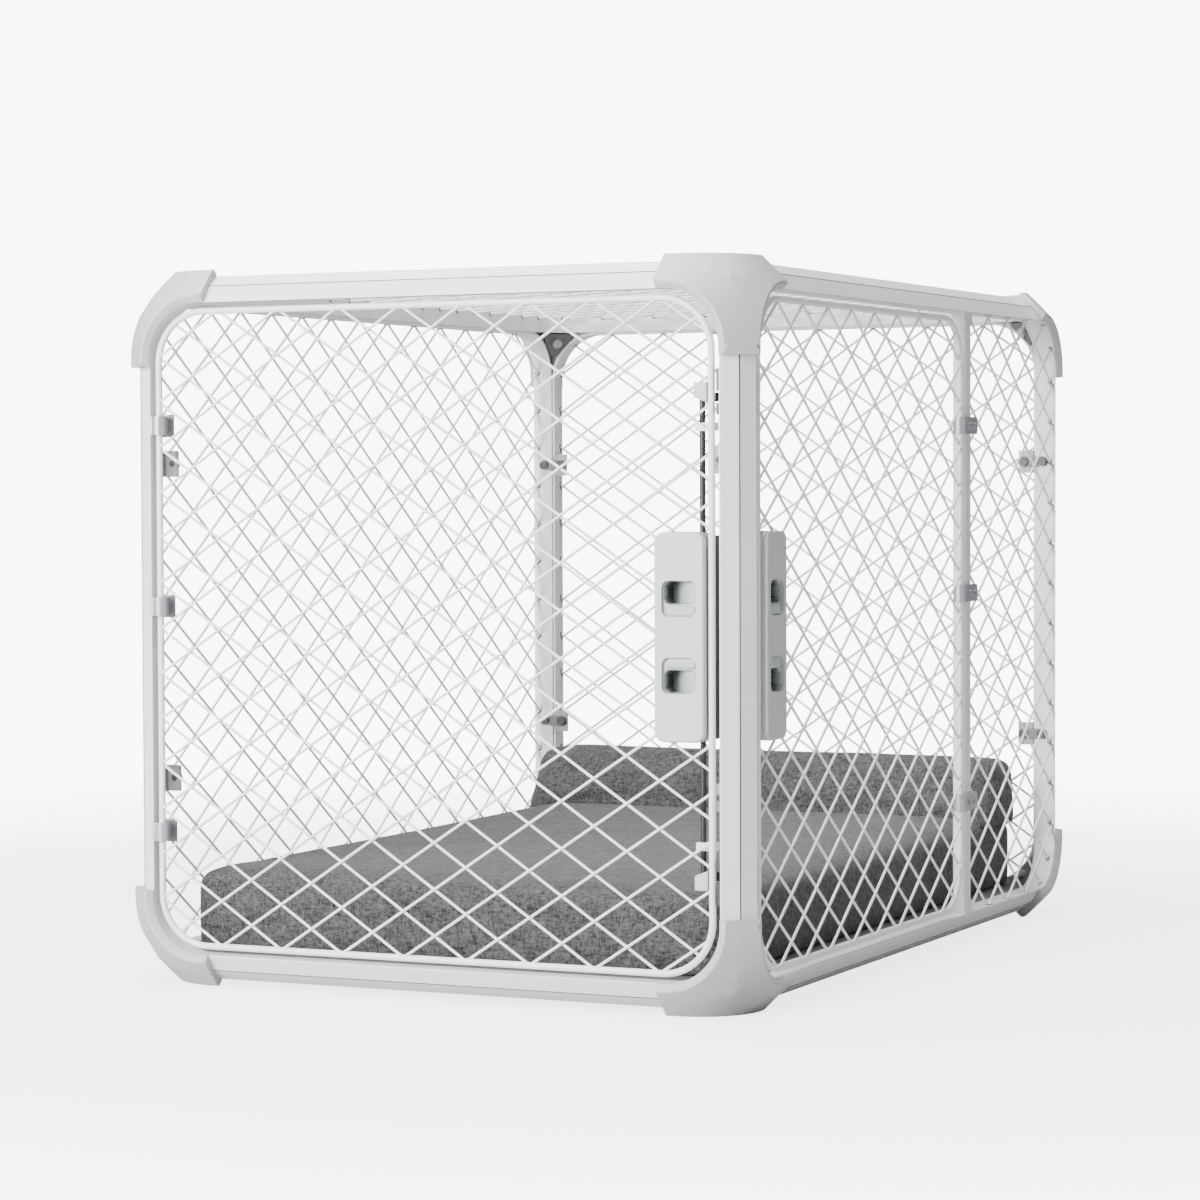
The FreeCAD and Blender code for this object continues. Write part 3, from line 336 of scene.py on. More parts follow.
def seam_shadow_mask(tree, point):
    """Painted shadow: 1 on the seam between the rails of two neighbouring panels, 0 elsewhere."""
    middle = (cad_low + cad_high) / 2
    half = (cad_high - cad_low) / 2 - Vector((CAP_STAND, CAP_STAND, CAP_STAND))
    for operation, value in (("SUBTRACT", tuple(middle)), ("ABSOLUTE", None)):
        step = tree.nodes.new("ShaderNodeVectorMath")
        step.operation = operation
        tree.links.new(point, step.inputs[0])
        if value:
            step.inputs[1].default_value = value
        point = step.outputs["Vector"]
    parts = tree.nodes.new("ShaderNodeSeparateXYZ")
    tree.links.new(point, parts.inputs[0])
    depths = [math_node(tree, "SUBTRACT", half[axis], parts.outputs[axis]) for axis in range(3)]
    mask = None
    for first, second in ((0, 1), (0, 2), (1, 2)):
        apart = math_node(tree, "ABSOLUTE", math_node(tree, "SUBTRACT", depths[first], depths[second]), 0.0)
        near = math_node(tree, "LESS_THAN", apart, SEAM_HALF)
        both = math_node(tree, "ADD", depths[first], depths[second])
        outside = math_node(tree, "LESS_THAN", both, SEAM_BELOW)
        line = math_node(tree, "MULTIPLY", near, outside)
        mask = line if mask is None else math_node(tree, "MAXIMUM", mask, line)
    return mask


rail_tree = rail_coat.node_tree
rail_base = rail_tree.nodes["Principled BSDF"].inputs["Base Color"]
rail_place = rail_tree.nodes.new("ShaderNodeTexCoord")
rail_tone = mix_colour(rail_tree, seam_shadow_mask(rail_tree, rail_place.outputs["Object"]),
                       rail_base.links[0].from_socket, SEAM_SHADOW_TONE)
rail_tree.links.new(rail_tone, rail_base)
print("seam line nodes", len(rail_tree.nodes))

# %% [markdown]
# Each CAD part that stays gets its finish here. A few small parts differ from the rest of their slot,
# such as the hinge cuffs and clip plates, which are light brackets beside the white rails.

# %% Finishes on the CAD parts
FINISH_OF_SLOT = {
    "powder_coated_aluminium": rail_coat,
    "coated_wire": wire_coat,
    "moulded_plastic": cap_plastic,
    "slider_plastic": slider_plastic,
    "grey_steel": grey_steel,
    "zinc_steel": dark_steel,
    "heather_fabric": board_plastic,
    "board_plastic": board_plastic,
}
FINISH_OF_NODE = {
    "hinge_cuffs": bracket_steel,
    "front_hinge_straps": bracket_steel,
    "front_latch_cover": plate_plastic,
    "side_latch_cover": plate_plastic,
    "front_latch_back": plate_plastic,
    "side_latch_back": plate_plastic,
    "frame_screws": bracket_steel,
    "clip_plates": mid_steel,
}
for part in frame["record"]["subparts"]:
    node = nodes[part["node"]]
    finish = FINISH_OF_NODE.get(part["node"], FINISH_OF_SLOT[part["material_slot"]])
    node.data.materials.clear()
    node.data.materials.append(finish)
print("finished", len(nodes), "CAD parts")

# %% [markdown]
# A new piece is made in a bmesh, turned into an object at the origin, and told which body it rides on and
# which finish slot it uses. The CAD parts that it stands for are hidden.

# %% Making a piece
def make_piece(name, shape, finishes, body, stands_for=(), crease=35.0):
    """Object from a bmesh, smooth except at creases, riding on a body."""
    data = bpy.data.meshes.new(name)
    shape.normal_update()
    shape.to_mesh(data)
    shape.free()
    for finish in finishes:
        data.materials.append(finish)
    data.shade_smooth()
    data.set_sharp_from_angle(angle=math.radians(crease))
    piece = bpy.data.objects.new(name, data)
    bpy.context.scene.collection.objects.link(piece)
    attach(piece, body)
    if stands_for:
        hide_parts(*stands_for)
    print(name, len(data.polygons), "faces on", body)
    return piece

# %% [markdown]
# A corner cap is one moulding whose three faces flow into each other. The CAD cap has plain cones that
# meet in faint ridges, so each cap is made again from a merged copy: its long triangles are divided,
# and only the points in the middle of the outer faces are smoothed. Rims, lands and ends stay put.

# %% Corner caps
CAP_CELL = 0.0035              # longest edge left on a cap's outer faces
CAP_DIVISIONS = 7               # most rounds of dividing
CAP_SMOOTHING = 36             # rounds of smoothing


def is_outer_face(face, outward):
    """Whether a face belongs to the cap's sloping outer faces."""
    parts = sorted(face.normal[axis] * outward[axis] for axis in range(3))
    return parts[0] > -0.06 and parts[1] > 0.30


def smooth_cap(node):
    """Copy of a cap with softly blended outer faces."""
    low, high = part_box(node)
    middle = (low + high) / 2
    centre = (cad_low + cad_high) / 2
    outward = [math.copysign(1.0, middle[axis] - centre[axis]) for axis in range(3)]
    shape = bmesh.new()
    shape.from_mesh(nodes[node].data)
    bmesh.ops.remove_doubles(shape, verts=shape.verts, dist=1e-6)
    for _ in range(CAP_DIVISIONS):
        shape.normal_update()
        wide = [e for e in shape.edges if e.calc_length() > CAP_CELL
                and any(is_outer_face(face, outward) for face in e.link_faces)]
        if not wide:
            break
        bmesh.ops.subdivide_edges(shape, edges=wide, cuts=1)
        bmesh.ops.triangulate(shape, faces=[face for face in shape.faces if len(face.verts) > 3])
    shape.normal_update()
    free = [vert for vert in shape.verts
            if vert.link_faces and all(is_outer_face(face, outward) for face in vert.link_faces)]
    for _ in range(CAP_SMOOTHING):
        bmesh.ops.smooth_vert(shape, verts=free, factor=0.5, use_axis_x=True, use_axis_y=True,
                              use_axis_z=True)
    make_piece(node + "_moulding", shape, [cap_plastic], "crate", [node], crease=28.0)
    print(node, "smoothed", len(free), "points")


for node in sorted(nodes):
    if node.startswith("cap_"):
        smooth_cap(node)

# %% [markdown]
# Diamond mesh is two layers of straight wires that lean opposite ways and are welded where they cross.
# A wire could be a curve with a bevel, but a ten-sided bar made by an operator is lighter and has ends.
# Each wire's line is clipped to the rounded window that its frame or rod leaves open.

# %% Wire lines
WIRE_RADIUS = 0.0013
DIAMOND_LENGTH = 0.062
DIAMOND_HEIGHT = 0.0415
LAYER_STEP = 0.00115           # each layer's distance from the mesh's middle plane
SHORTEST_LINE = 0.008          # a shorter line in a window gets no wire


def span_in_box(start, step, low, high):
    """Range of t where start + t * step lies in a flat box, or None."""
    first, last = -1e9, 1e9
    for axis in (0, 1):
        ends = sorted(((low[axis] - start[axis]) / step[axis], (high[axis] - start[axis]) / step[axis]))
        first = max(first, ends[0])
        last = min(last, ends[1])
    return (first, last) if last > first else None


def in_window(point, low, high, radius):
    """Whether a flat point lies in a rounded rectangle."""
    nearest = Vector((min(max(point.x, low.x + radius), high.x - radius),
                      min(max(point.y, low.y + radius), high.y - radius)))
    return (point - nearest).length <= radius


def window_span(start, step, low, high, radius):
    """Range of t where the line lies in a rounded rectangle, or None."""
    span = span_in_box(start, step, low, high)
    if span is None:
        return None
    middle = (span[0] + span[1]) / 2
    if not in_window(start + step * middle, low, high, radius):
        return None
    ends = []
    for outer in span:
        good, bad = middle, outer
        for _ in range(24):
            tried = (good + bad) / 2
            if in_window(start + step * tried, low, high, radius - 1e-6):
                good = tried
            else:
                bad = tried
        ends.append(good)
    return ends


def diamond_lines(low, high, radius, row, anchor):
    """Start, end and lean of every wire in a rounded window."""
    lines = []
    slope = row / DIAMOND_LENGTH
    count = int(((high.x - low.x) * slope + high.y - low.y) / row) + 3
    for lean in (1, -1):
        step = Vector((1.0, lean * slope)).normalized()
        for number in range(-count, count + 1):
            start = Vector((anchor.x, anchor.y + number * row))
            span = window_span(start, step, low, high, radius)
            if span and span[1] - span[0] > SHORTEST_LINE:
                lines.append((start + step * span[0], start + step * span[1], lean))
    return lines


print("one wire", WIRE_RADIUS * 2000, "mm across")

# %% [markdown]
# A panel's wires go into small punched holes in the rails' inner walls. The shade in each hole is painted
# as a thin dark disc around the wire's end. The discs are laid against the wall, so they turn with it round
# the corners.

# %% Wire shapes and painted hole shade
HOLE_DEEP = 0.0006             # thickness of the dark disc


def add_bar(shape, start, end, radius, sides=10):
    """Round bar between two points."""
    axis = end - start
    place = Matrix.Translation((start + end) / 2) @ axis.to_track_quat("Z", "Y").to_matrix().to_4x4()
    bmesh.ops.create_cone(shape, cap_ends=True, segments=sides, radius1=radius, radius2=radius,
                          depth=axis.length, matrix=place)


def add_hole_shade(shape, centre, normal, radius):
    """Dark disc of painted shade that stands for a punched hole, with a material index of 1."""
    turn = normal.to_track_quat("Z", "Y").to_matrix().to_4x4()
    place = Matrix.Translation(centre + normal * HOLE_DEEP / 2) @ turn
    made = bmesh.ops.create_cone(shape, cap_ends=True, segments=12, radius1=radius, radius2=radius,
                                 depth=HOLE_DEEP, matrix=place)
    for face in {face for vert in made["verts"] for face in vert.link_faces}:
        face.material_index = 1


def wall_normal(point, low, high, radius):
    """Flat direction from a window's wall to its inside."""
    nearest = Vector((min(max(point.x, low.x + radius), high.x - radius),
                      min(max(point.y, low.y + radius), high.y - radius)))
    return (nearest - point).normalized()

# %% [markdown]
# One function covers all seven meshes. A panel's plane follows from its CAD part's thin side, and the
# pattern starts from the corner that the real panel is set out from.

# %% Mesh panels
HOLE_RADIUS = 0.0023
SHORTEST_WIRE = 0.006          # a shorter piece of wire isn't made
SHORTEST_STUB = 0.005          # the same for what a latch cover leaves of a wire
COVER_LAP = 0.002              # how far wires reach in under a latch cover
POST_SIDE = 0.006              # extra width cut away on the cover's post side


def wires_past_cover(latch, across, up, anchor_high, start, step, first, last):
    """Stretches of one wire that a latch cover leaves."""
    low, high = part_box(latch)
    inner_low = Vector((low[across] + COVER_LAP, low[up] + COVER_LAP))
    inner_high = Vector((high[across] - COVER_LAP, high[up] - COVER_LAP))
    if anchor_high:
        inner_low.x -= POST_SIDE
    else:
        inner_high.x += POST_SIDE
    cut = span_in_box(start, step, inner_low, inner_high)
    if cut and cut[0] < last and cut[1] > first:
        return [(first, cut[0]), (cut[1], last)]
    return [(first, last)]


def mesh_panel(name, node, body, anchor_high, corner, margin=0.0, latch=None, sunk=0.001, square_side=None):
    """Two crossing layers of wires in the plane of a CAD mesh."""
    low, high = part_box(node)
    size = high - low
    thin = min(range(3), key=lambda axis: size[axis])
    across, up = [axis for axis in range(3) if axis != thin]
    plane = (low[thin] + high[thin]) / 2
    outward = 1.0 if plane > (cad_low[thin] + cad_high[thin]) / 2 else -1.0
    flat_low = Vector((low[across], low[up]))
    flat_high = Vector((high[across], high[up]))
    tall = flat_high.y - flat_low.y + 2 * margin
    row = tall / round(tall / DIAMOND_HEIGHT)
    anchor = Vector((flat_high.x + margin if anchor_high else flat_low.x - margin, flat_low.y - margin))
    window_low, window_high = flat_low.copy(), flat_high.copy()
    if square_side is not None:
        window_low.x -= 0.2 if square_side < 0 else 0.0
        window_high.x += 0.2 if square_side > 0 else 0.0

    def solid_point(flat, depth):
        point = Vector((0.0, 0.0, 0.0))
        point[across], point[up], point[thin] = flat.x, flat.y, depth
        return point

    shape = bmesh.new()
    for start, end, lean in diamond_lines(window_low, window_high, corner, row, anchor):
        depth = plane + lean * outward * LAYER_STEP
        step = (end - start).normalized()
        span = span_in_box(start, step, flat_low, flat_high)
        if span is None:
            continue
        first, last = max(0.0, span[0]), min((end - start).length, span[1])
        if last - first < SHORTEST_WIRE:
            continue
        pieces = [(first, last)]
        if latch:
            pieces = wires_past_cover(latch, across, up, anchor_high, start, step, first, last)
        for near, far in pieces:
            if far - near < SHORTEST_STUB:
                continue
            grow_near = sunk if near == first else 0.0
            grow_far = sunk if far == last else 0.0
            add_bar(shape, solid_point(start + step * (near - grow_near), depth),
                    solid_point(start + step * (far + grow_far), depth), WIRE_RADIUS)
        if not margin:
            for flat in (start + step * first, start + step * last):
                normal = wall_normal(flat, window_low, window_high, corner)
                if normal.length < 0.5:
                    continue
                # painted shade of the hole around the wire's end
                add_hole_shade(shape, solid_point(flat, depth), solid_point(normal, 0.0), HOLE_RADIUS)
    return make_piece(name, shape, [wire_coat, painted_gap_shade], body, [node], crease=50.0)


PANEL_CORNER = 0.0505
DOOR_CORNER = 0.0435
mesh_panel("back_wires", "back_mesh", "crate", True, PANEL_CORNER)
mesh_panel("left_wires", "left_mesh", "crate", True, PANEL_CORNER)
mesh_panel("top_wires", "top_mesh", "crate", False, PANEL_CORNER)
mesh_panel("bottom_wires", "bottom_mesh", "crate", True, PANEL_CORNER)
mesh_panel("right_rear_wires", "right_rear_mesh", "crate", False, PANEL_CORNER, square_side=-1)
for door, anchor_high in (("front", False), ("side", True)):
    mesh_panel(door + "_door_wires", door + "_door_mesh", door + "_door", anchor_high, DOOR_CORNER,
               margin=0.003, latch=door + "_latch_cover", sunk=0.002)

# %% [markdown]
# Both doors are the same, one mirrored, so their small pieces are made in a door's own directions:
# towards the post, up, and out from the door. A matrix then carries them to the front or the side.

# %% Door directions
def door_matrix(door):
    """Matrix from (towards the post, up, out) at the latch cover's middle to the crate."""
    low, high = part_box(door + "_latch_cover")
    middle = (low + high) / 2
    if door == "front":
        place = Vector((middle.x, low.y, middle.z))
        directions = (Vector((1, 0, 0)), Vector((0, 0, 1)), Vector((0, -1, 0)))
    else:
        place = Vector((high.x, middle.y, middle.z))
        directions = (Vector((0, -1, 0)), Vector((0, 0, 1)), Vector((1, 0, 0)))
    turn = Matrix(directions).transposed().to_4x4()
    return Matrix.Translation(place) @ turn


def local_box(door, node):
    """A CAD part's box in the door's own directions."""
    back = door_matrix(door).inverted()
    ends = [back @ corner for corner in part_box(node)]
    low = Vector([min(end[axis] for end in ends) for axis in range(3)])
    high = Vector([max(end[axis] for end in ends) for axis in range(3)])
    return low, high


def place_on_door(shape, door):
    """Moves a bmesh from door directions to the crate, faces still outwards."""
    matrix = door_matrix(door)
    bmesh.ops.transform(shape, matrix=matrix, verts=shape.verts)
    if matrix.determinant() < 0:
        bmesh.ops.reverse_faces(shape, faces=shape.faces)


print("doors", [tuple(round(v, 3) for v in door_matrix(d).translation) for d in ("front", "side")])

# %% [markdown]
# A finger slider is a moulded plate with a scooped hollow, deep on the hinge side and shallow on the
# post side, and a raised lip that the finger pushes. It starts as a fine grid, and each point is
# pushed in or out by smooth steps, which gives the soft edges that moulded plastic has.

# %% Sliders
def smooth_step(value, start, end):
    """0 before start, 1 after end, smooth between."""
    t = min(max((value - start) / (end - start), 0.0), 1.0)
    return t * t * (3 - 2 * t)


def inside_by(across, up, left, right, bottom, top, corner):
    """How far a point lies inside a rounded rectangle; negative outside."""
    dx = abs(across - (left + right) / 2) - ((right - left) / 2 - corner)
    dy = abs(up - (bottom + top) / 2) - ((top - bottom) / 2 - corner)
    outside = math.hypot(max(dx, 0.0), max(dy, 0.0))
    return corner - outside - min(max(dx, dy), 0.0)


WINDOW_MIDDLE = 0.033          # window's middle from the latch's middle
PLATE_BACK = 0.0033            # slider plate's face behind the cover's face
PLATE_WALL = 0.0012
HOLLOW = (-0.0150, 0.0150, -0.0052, 0.0152, 0.0062)     # left, right, bottom, top, corner
LIP = (-0.0125, 0.0155, -0.0155, -0.0058, 0.0040)
HOLLOW_DEPTH = 0.0030          # on the post side
HOLLOW_FALL = 0.0125           # how much deeper it is on the hinge side
LIP_RISE = 0.0021


def finger_slider(door, level):
    """Slider plate with its hollow and lip, for the upper or the lower window."""
    node = f"{door}_{level}_slider"
    sign = 1.0 if level == "upper" else -1.0
    low, high = local_box(door, node)
    shape = bmesh.new()
    shade = shape.verts.layers.float.new("painted_hollow_shade")
    middle = Vector(((low.x + high.x) / 2, (low.y + high.y) / 2, -PLATE_BACK))
    bmesh.ops.create_grid(shape, x_segments=46, y_segments=58, size=0.5, matrix=Matrix.Translation(middle)
                          @ Matrix.Diagonal((high.x - low.x, high.y - low.y, 1.0, 1.0)))
    for vert in shape.verts:
        across = vert.co.x
        up = sign * vert.co.y - WINDOW_MIDDLE
        hollow = smooth_step(inside_by(across, up, *HOLLOW), 0.0, 0.0018)
        deep = smooth_step(-across, -0.009, 0.011)
        depth = HOLLOW_DEPTH + HOLLOW_FALL * deep
        far_side = smooth_step(-across, -0.002, 0.0125)
        # painted shade: darkest deep in the hollow, towards its far side
        vert[shade] = smooth_step(hollow, 0.0, 0.3) * (0.10 + 0.90 * far_side)
        lip = smooth_step(inside_by(across, up, *LIP), 0.0, 0.0014)
        vert.co.z += LIP_RISE * lip - depth * hollow
    place_on_door(shape, door)
    piece = make_piece(f"{door}_{level}_finger_slider", shape, [slider_plastic], f"{door}_{level}_latch",
                       [node], crease=60.0)
    wall = piece.modifiers.new("wall", "SOLIDIFY")
    wall.thickness = PLATE_WALL
    wall.offset = -1.0


for door in ("front", "side"):
    for level in ("upper", "lower"):
        finger_slider(door, level)

# %% [markdown]
# Each slider pulls a thin dark rod with a pale moulded hook on its end. The hook's lower inner corner
# is cut at a slant, and a steel tongue reaches from it into the keeper on the post.

# %% Latch rods
def boxed(shape, low, high, round_off):
    """Box between two corners with its edges rounded a little."""
    made = bmesh.ops.create_cube(shape, size=1.0, matrix=Matrix.Translation((low + high) / 2)
                                 @ Matrix.Diagonal((*(high - low), 1.0)))["verts"]
    edges = list({edge for vert in made for edge in vert.link_edges})
    bmesh.ops.bevel(shape, geom=edges, offset=round_off, offset_type="OFFSET", affect="EDGES", segments=3,
                    profile=0.5, material=-1)


ROD_RADIUS = 0.0025
BLOCK_TALL = 0.017             # hook block's height
BLOCK_WIDE = 0.0125
HOOK_SLANT = 0.75              # rise of the slanted corner for each unit across


def latch_rod(door, level):
    """Dark rod and tongue with a pale hook block."""
    node = f"{door}_{level}_latch_rod"
    sign = 1.0 if level == "upper" else -1.0
    low, high = local_box(door, node)
    end = high.y if sign > 0 else -low.y
    start = low.y if sign > 0 else -high.y
    block_low = end - BLOCK_TALL
    rod_across = low.x + BLOCK_WIDE / 2
    rod_out = high.z - 0.0057
    shape = bmesh.new()
    add_bar(shape, Vector((rod_across, start, rod_out)), Vector((rod_across, block_low + 0.002, rod_out)),
            ROD_RADIUS, 16)
    boxed(shape, Vector((rod_across + 0.004, block_low + 0.0004, rod_out - 0.0017)),
          Vector((high.x, block_low + 0.0080, rod_out + 0.0017)), 0.0005)
    first_pale = len(shape.faces)
    boxed(shape, Vector((low.x, block_low, low.z)), Vector((rod_across + BLOCK_WIDE / 2, end, high.z)),
          0.0012)
    shape.faces.ensure_lookup_table()
    for face in shape.faces[first_pale:]:
        face.material_index = 1
    for vert in {vert for face in shape.faces[first_pale:] for vert in face.verts}:
        if vert.co.y < block_low + 0.003 and vert.co.x < rod_across:
            vert.co.y += (rod_across - vert.co.x) * HOOK_SLANT
    if sign < 0:
        bmesh.ops.scale(shape, vec=Vector((1.0, -1.0, 1.0)), verts=shape.verts)
        bmesh.ops.reverse_faces(shape, faces=shape.faces)
    place_on_door(shape, door)
    make_piece(f"{door}_{level}_hook_rod", shape, [dark_steel, plate_plastic], f"{door}_{level}_latch",
               [node], crease=40.0)


for door in ("front", "side"):
    for level in ("upper", "lower"):
        latch_rod(door, level)

# %% [markdown]
# A dark strip of painted shade runs behind the door's rod beside the latch and fills the view through the
# gap with shade.

# %% Painted shade strips beside the latches
SHADE_STRIP_NEAR = 0.0003           # from the cover's post edge
SHADE_STRIP_FAR = 0.0070
SHADE_STRIP_END = 0.003             # shorter than the cover at each end
SHADE_STRIP_FRONT = 0.0118          # behind the cover's face
SHADE_STRIP_BACK = 0.0215
# Painted shade: one dark strip on each door, seen through the gap beside its latch.
for door in ("front", "side"):
    cover_low, cover_high = local_box(door, door + "_latch_cover")
    shade_strip = bmesh.new()
    low = Vector((cover_high.x + SHADE_STRIP_NEAR, cover_low.y + SHADE_STRIP_END, cover_high.z - SHADE_STRIP_BACK))
    high = Vector((cover_high.x + SHADE_STRIP_FAR, cover_high.y - SHADE_STRIP_END, cover_high.z - SHADE_STRIP_FRONT))
    boxed(shade_strip, low, high, 0.0012)
    place_on_door(shade_strip, door)
    make_piece(door + "_latch_shade_strip", shade_strip, [painted_gap_shade], door + "_door")

# %% [markdown]
# Heather cloth is woven from yarns of mixed dark and light fibres, so it shows short streaks both ways
# and faint blotches. Noise stretched two ways makes the streaks, and the same streaks make the relief.
# It reads object coordinates, so the thread size is real on every face.

# %% Heather cloth group
cloth_group = bpy.data.node_groups.new("heather_cloth", "ShaderNodeTree")
socket(cloth_group, "Vector", "Vector", "INPUT")
socket(cloth_group, "Dark Yarn", "Color", "INPUT", (0.03, 0.03, 0.035, 1.0))
socket(cloth_group, "Light Yarn", "Color", "INPUT", (0.25, 0.25, 0.26, 1.0))
socket(cloth_group, "Thread Scale", "Float", "INPUT", 1.0)
socket(cloth_group, "Color", "Color", "OUTPUT")
socket(cloth_group, "Roughness", "Float", "OUTPUT")
socket(cloth_group, "Height", "Float", "OUTPUT")
cloth_in = cloth_group.nodes.new("NodeGroupInput")
cloth_out = cloth_group.nodes.new("NodeGroupOutput")


def stretched(tree, vector, factors):
    """Vector multiplied axis by axis."""
    node = tree.nodes.new("ShaderNodeVectorMath")
    node.operation = "MULTIPLY"
    tree.links.new(vector, node.inputs[0])
    node.inputs[1].default_value = factors
    return node.outputs[0]


scaled = cloth_group.nodes.new("ShaderNodeVectorMath")
scaled.operation = "SCALE"
cloth_group.links.new(cloth_in.outputs["Vector"], scaled.inputs[0])
cloth_group.links.new(cloth_in.outputs["Thread Scale"], scaled.inputs["Scale"])
ALONG_THREADS = (170.0, 600.0, 600.0)
UPRIGHT_THREADS = (600.0, 220.0, 220.0)
BLOTCHES = (26.0, 70.0, 70.0)
along = noise(cloth_group, stretched(cloth_group, scaled.outputs[0], ALONG_THREADS), 1.0, 3.0, 0.6)
upright = noise(cloth_group, stretched(cloth_group, scaled.outputs[0], UPRIGHT_THREADS), 1.0, 3.0, 0.6)
blotch = noise(cloth_group, stretched(cloth_group, scaled.outputs[0], BLOTCHES), 1.0, 4.0, 0.65)
threads = math_node(cloth_group, "ADD", math_node(cloth_group, "MULTIPLY", along, 0.5),
                    math_node(cloth_group, "MULTIPLY", upright, 0.5))
mottled = math_node(cloth_group, "ADD", math_node(cloth_group, "MULTIPLY", threads, 0.86),
                    math_node(cloth_group, "MULTIPLY", blotch, 0.14))
contrast = cloth_group.nodes.new("ShaderNodeMapRange")
contrast.inputs["From Min"].default_value = 0.38
contrast.inputs["From Max"].default_value = 0.62
cloth_group.links.new(mottled, contrast.inputs["Value"])
yarn = mix_colour(cloth_group, contrast.outputs["Result"], cloth_in.outputs["Dark Yarn"],
                  cloth_in.outputs["Light Yarn"])
cloth_group.links.new(yarn, cloth_out.inputs["Color"])
cloth_group.links.new(math_node(cloth_group, "MULTIPLY_ADD", threads, 0.15), cloth_out.inputs["Roughness"])
cloth_out.inputs["Roughness"].links[0].from_node.inputs[2].default_value = 0.82
cloth_group.links.new(threads, cloth_out.inputs["Height"])


def cloth_finish(name, dark, light, thread_scale):
    """Matt woven material with a soft sheen."""
    material = bpy.data.materials.new(name)
    material.use_nodes = True
    tree = material.node_tree
    shader = tree.nodes["Principled BSDF"]
    shader.inputs["Specular IOR Level"].default_value = 0.2
    shader.inputs["Sheen Weight"].default_value = 0.08
    shader.inputs["Sheen Roughness"].default_value = 0.5
    place = tree.nodes.new("ShaderNodeTexCoord")
    weave = tree.nodes.new("ShaderNodeGroup")
    weave.node_tree = cloth_group
    weave.inputs["Dark Yarn"].default_value = (*dark, 1.0)
    weave.inputs["Light Yarn"].default_value = (*light, 1.0)
    weave.inputs["Thread Scale"].default_value = thread_scale
    relief = tree.nodes.new("ShaderNodeBump")
    relief.inputs["Strength"].default_value = 0.7
    relief.inputs["Distance"].default_value = 0.0008
    tree.links.new(place.outputs["Object"], weave.inputs["Vector"])
    tree.links.new(weave.outputs["Color"], shader.inputs["Base Color"])
    tree.links.new(weave.outputs["Roughness"], shader.inputs["Roughness"])
    tree.links.new(weave.outputs["Height"], relief.inputs["Height"])
    tree.links.new(relief.outputs["Normal"], shader.inputs["Normal"])
    return material


heather = cloth_finish("heather_cloth", (0.014, 0.014, 0.016), (0.115, 0.115, 0.118), 1.0)
print("cloth group", len(cloth_group.nodes), "nodes")

# %% [markdown]
# The bed is a foam slab in a sewn cover, with a bolster across the back. A box that is only bevelled
# looks like wood, so each cushion is inflated a little by cloth simulation: the faces crown, the edges
# stay where the seams hold them, and small puckers form. The underside stays flat on what it lies on.

# %% Cushions
def cushion_blank(low, high, corner, rim, lean=0.0):
    """Rounded slab: upright corners and rims bevelled, its top drawn in by a lean."""
    shape = bmesh.new()
    bmesh.ops.create_cube(shape, size=1.0, matrix=Matrix.Translation((low + high) / 2)
                          @ Matrix.Diagonal((*(high - low), 1.0)))
    top = (low.z + high.z) / 2
    for vert in shape.verts:
        if vert.co.z > top:
            vert.co.y += lean if vert.co.y < (low.y + high.y) / 2 else 0.0
            vert.co.x -= math.copysign(lean * 0.1, vert.co.x)
    upright = [e for e in shape.edges if abs(e.verts[0].co.z - e.verts[1].co.z) > (high.z - low.z) / 2]
    bmesh.ops.bevel(shape, geom=upright, offset=corner, offset_type="OFFSET", affect="EDGES", segments=8,
                    profile=0.5, material=-1)
    for height, offset in ((low.z, rim * 0.5), (high.z, rim)):
        rims = [e for e in shape.edges if all(abs(v.co.z - height) < 1e-5 for v in e.verts)
                and e.calc_face_angle(0.0) > 0.8]
        bmesh.ops.bevel(shape, geom=rims, offset=offset, offset_type="OFFSET", affect="EDGES", segments=6,
                        profile=0.5, material=-1)
    return shape


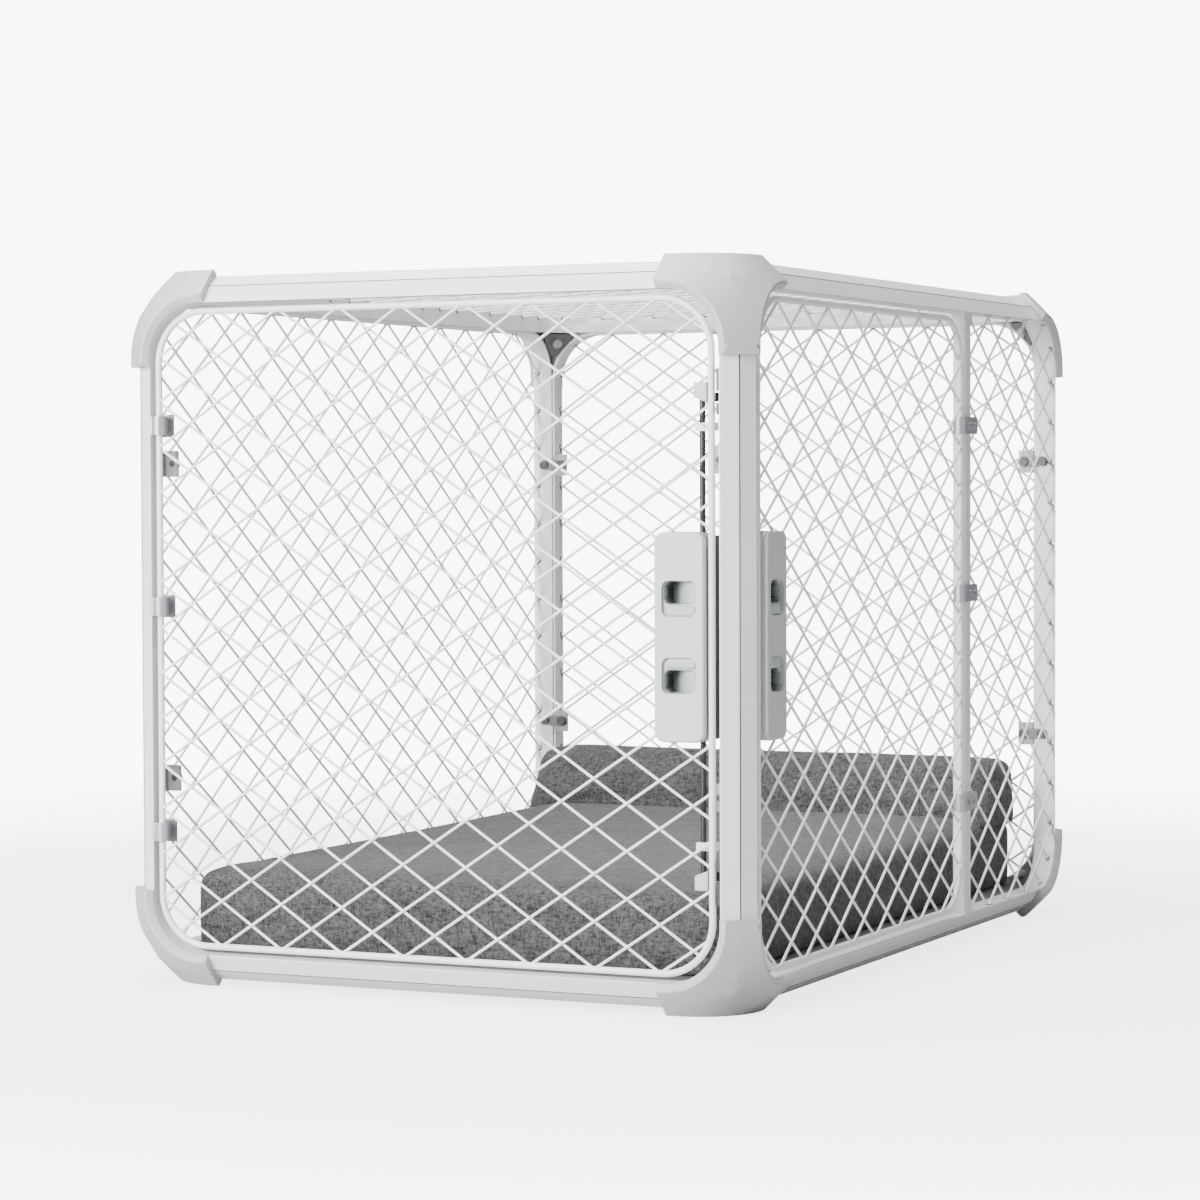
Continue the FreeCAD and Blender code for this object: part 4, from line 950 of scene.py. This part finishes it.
def inflate(piece, voxel, pressure, most):
    """Voxel mesh blown up by a short cloth simulation, each point held to a largest move."""
    remesh = piece.modifiers.new("even_mesh", "REMESH")
    remesh.mode = "VOXEL"
    remesh.voxel_size = voxel
    bpy.context.view_layer.update()
    depsgraph = bpy.context.evaluated_depsgraph_get()
    even = bpy.data.meshes.new_from_object(piece.evaluated_get(depsgraph))
    piece.modifiers.clear()
    piece.data = even
    rest = [vert.co.copy() for vert in even.vertices]
    cloth = piece.modifiers.new("cover", "CLOTH")
    cloth.settings.quality = 5
    cloth.settings.mass = 0.3
    cloth.settings.use_pressure = True
    cloth.settings.uniform_pressure_force = pressure
    cloth.settings.tension_stiffness = 15.0
    cloth.settings.compression_stiffness = 15.0
    cloth.settings.bending_stiffness = 0.5
    cloth.settings.effector_weights.gravity = 0.0
    cloth.collision_settings.use_collision = False
    cloth.point_cache.frame_start = 1
    cloth.point_cache.frame_end = 20
    scene = bpy.context.scene
    for number in range(1, 21):
        scene.frame_set(number)
    depsgraph = bpy.context.evaluated_depsgraph_get()
    blown = bpy.data.meshes.new_from_object(piece.evaluated_get(depsgraph))
    piece.modifiers.clear()
    for vert, start in zip(blown.vertices, rest):
        move = vert.co - start
        if move.length > most:
            vert.co = start + move * (most / move.length)
    piece.data = blown
    scene.frame_set(1)


def cushion(name, node, corner, rim, lean, sink, side, voxel, pressure, most):
    """Inflated cushion about its CAD solid's box: drawn in by side, or out if negative, and sunk by sink."""
    low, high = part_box(node)
    low = low - Vector((0.0, 0.0, sink))
    high = high - Vector((0.0, 0.0, sink))
    inset = Vector((side, 0.004, 0.004))
    blank = cushion_blank(low + Vector((inset.x, inset.y, 0.0)), high - inset, corner, rim, lean)
    piece = make_piece(name, blank, [heather], "crate", [node], crease=180.0)
    inflate(piece, voxel, pressure, most)
    for vert in piece.data.vertices:
        vert.co.z = max(vert.co.z, low.z)
        if vert.co.z < low.z + 0.004:
            vert.co.z = low.z + (vert.co.z - low.z) * 0.4
    piece.data.materials.clear()
    piece.data.materials.append(heather)
    piece.data.shade_smooth()
    smooth = piece.modifiers.new("soft_cover", "SUBSURF")
    smooth.levels = 1
    smooth.render_levels = 1
    print(name, len(piece.data.polygons), "faces before one subdivision")
    return piece


PRESSURE = 4.0
FARTHEST_MOVE = 0.006
cushion("bed_mattress", "mattress", corner=0.020, rim=0.013, lean=0.0, sink=0.0, side=0.002,
        voxel=0.007, pressure=PRESSURE, most=FARTHEST_MOVE)
cushion("bed_bolster", "bolster", corner=0.012, rim=0.016, lean=0.044, sink=0.010, side=-0.004,
        voxel=0.005, pressure=PRESSURE, most=FARTHEST_MOVE)

# %% [markdown]
# Last, the visual box is printed, to set beside the CAD box printed at the start, so that the sizes can be
# compared.

# %% Sizes and finish
low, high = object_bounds()
print("visual box", [round(v, 4) for v in low], [round(v, 4) for v in high])
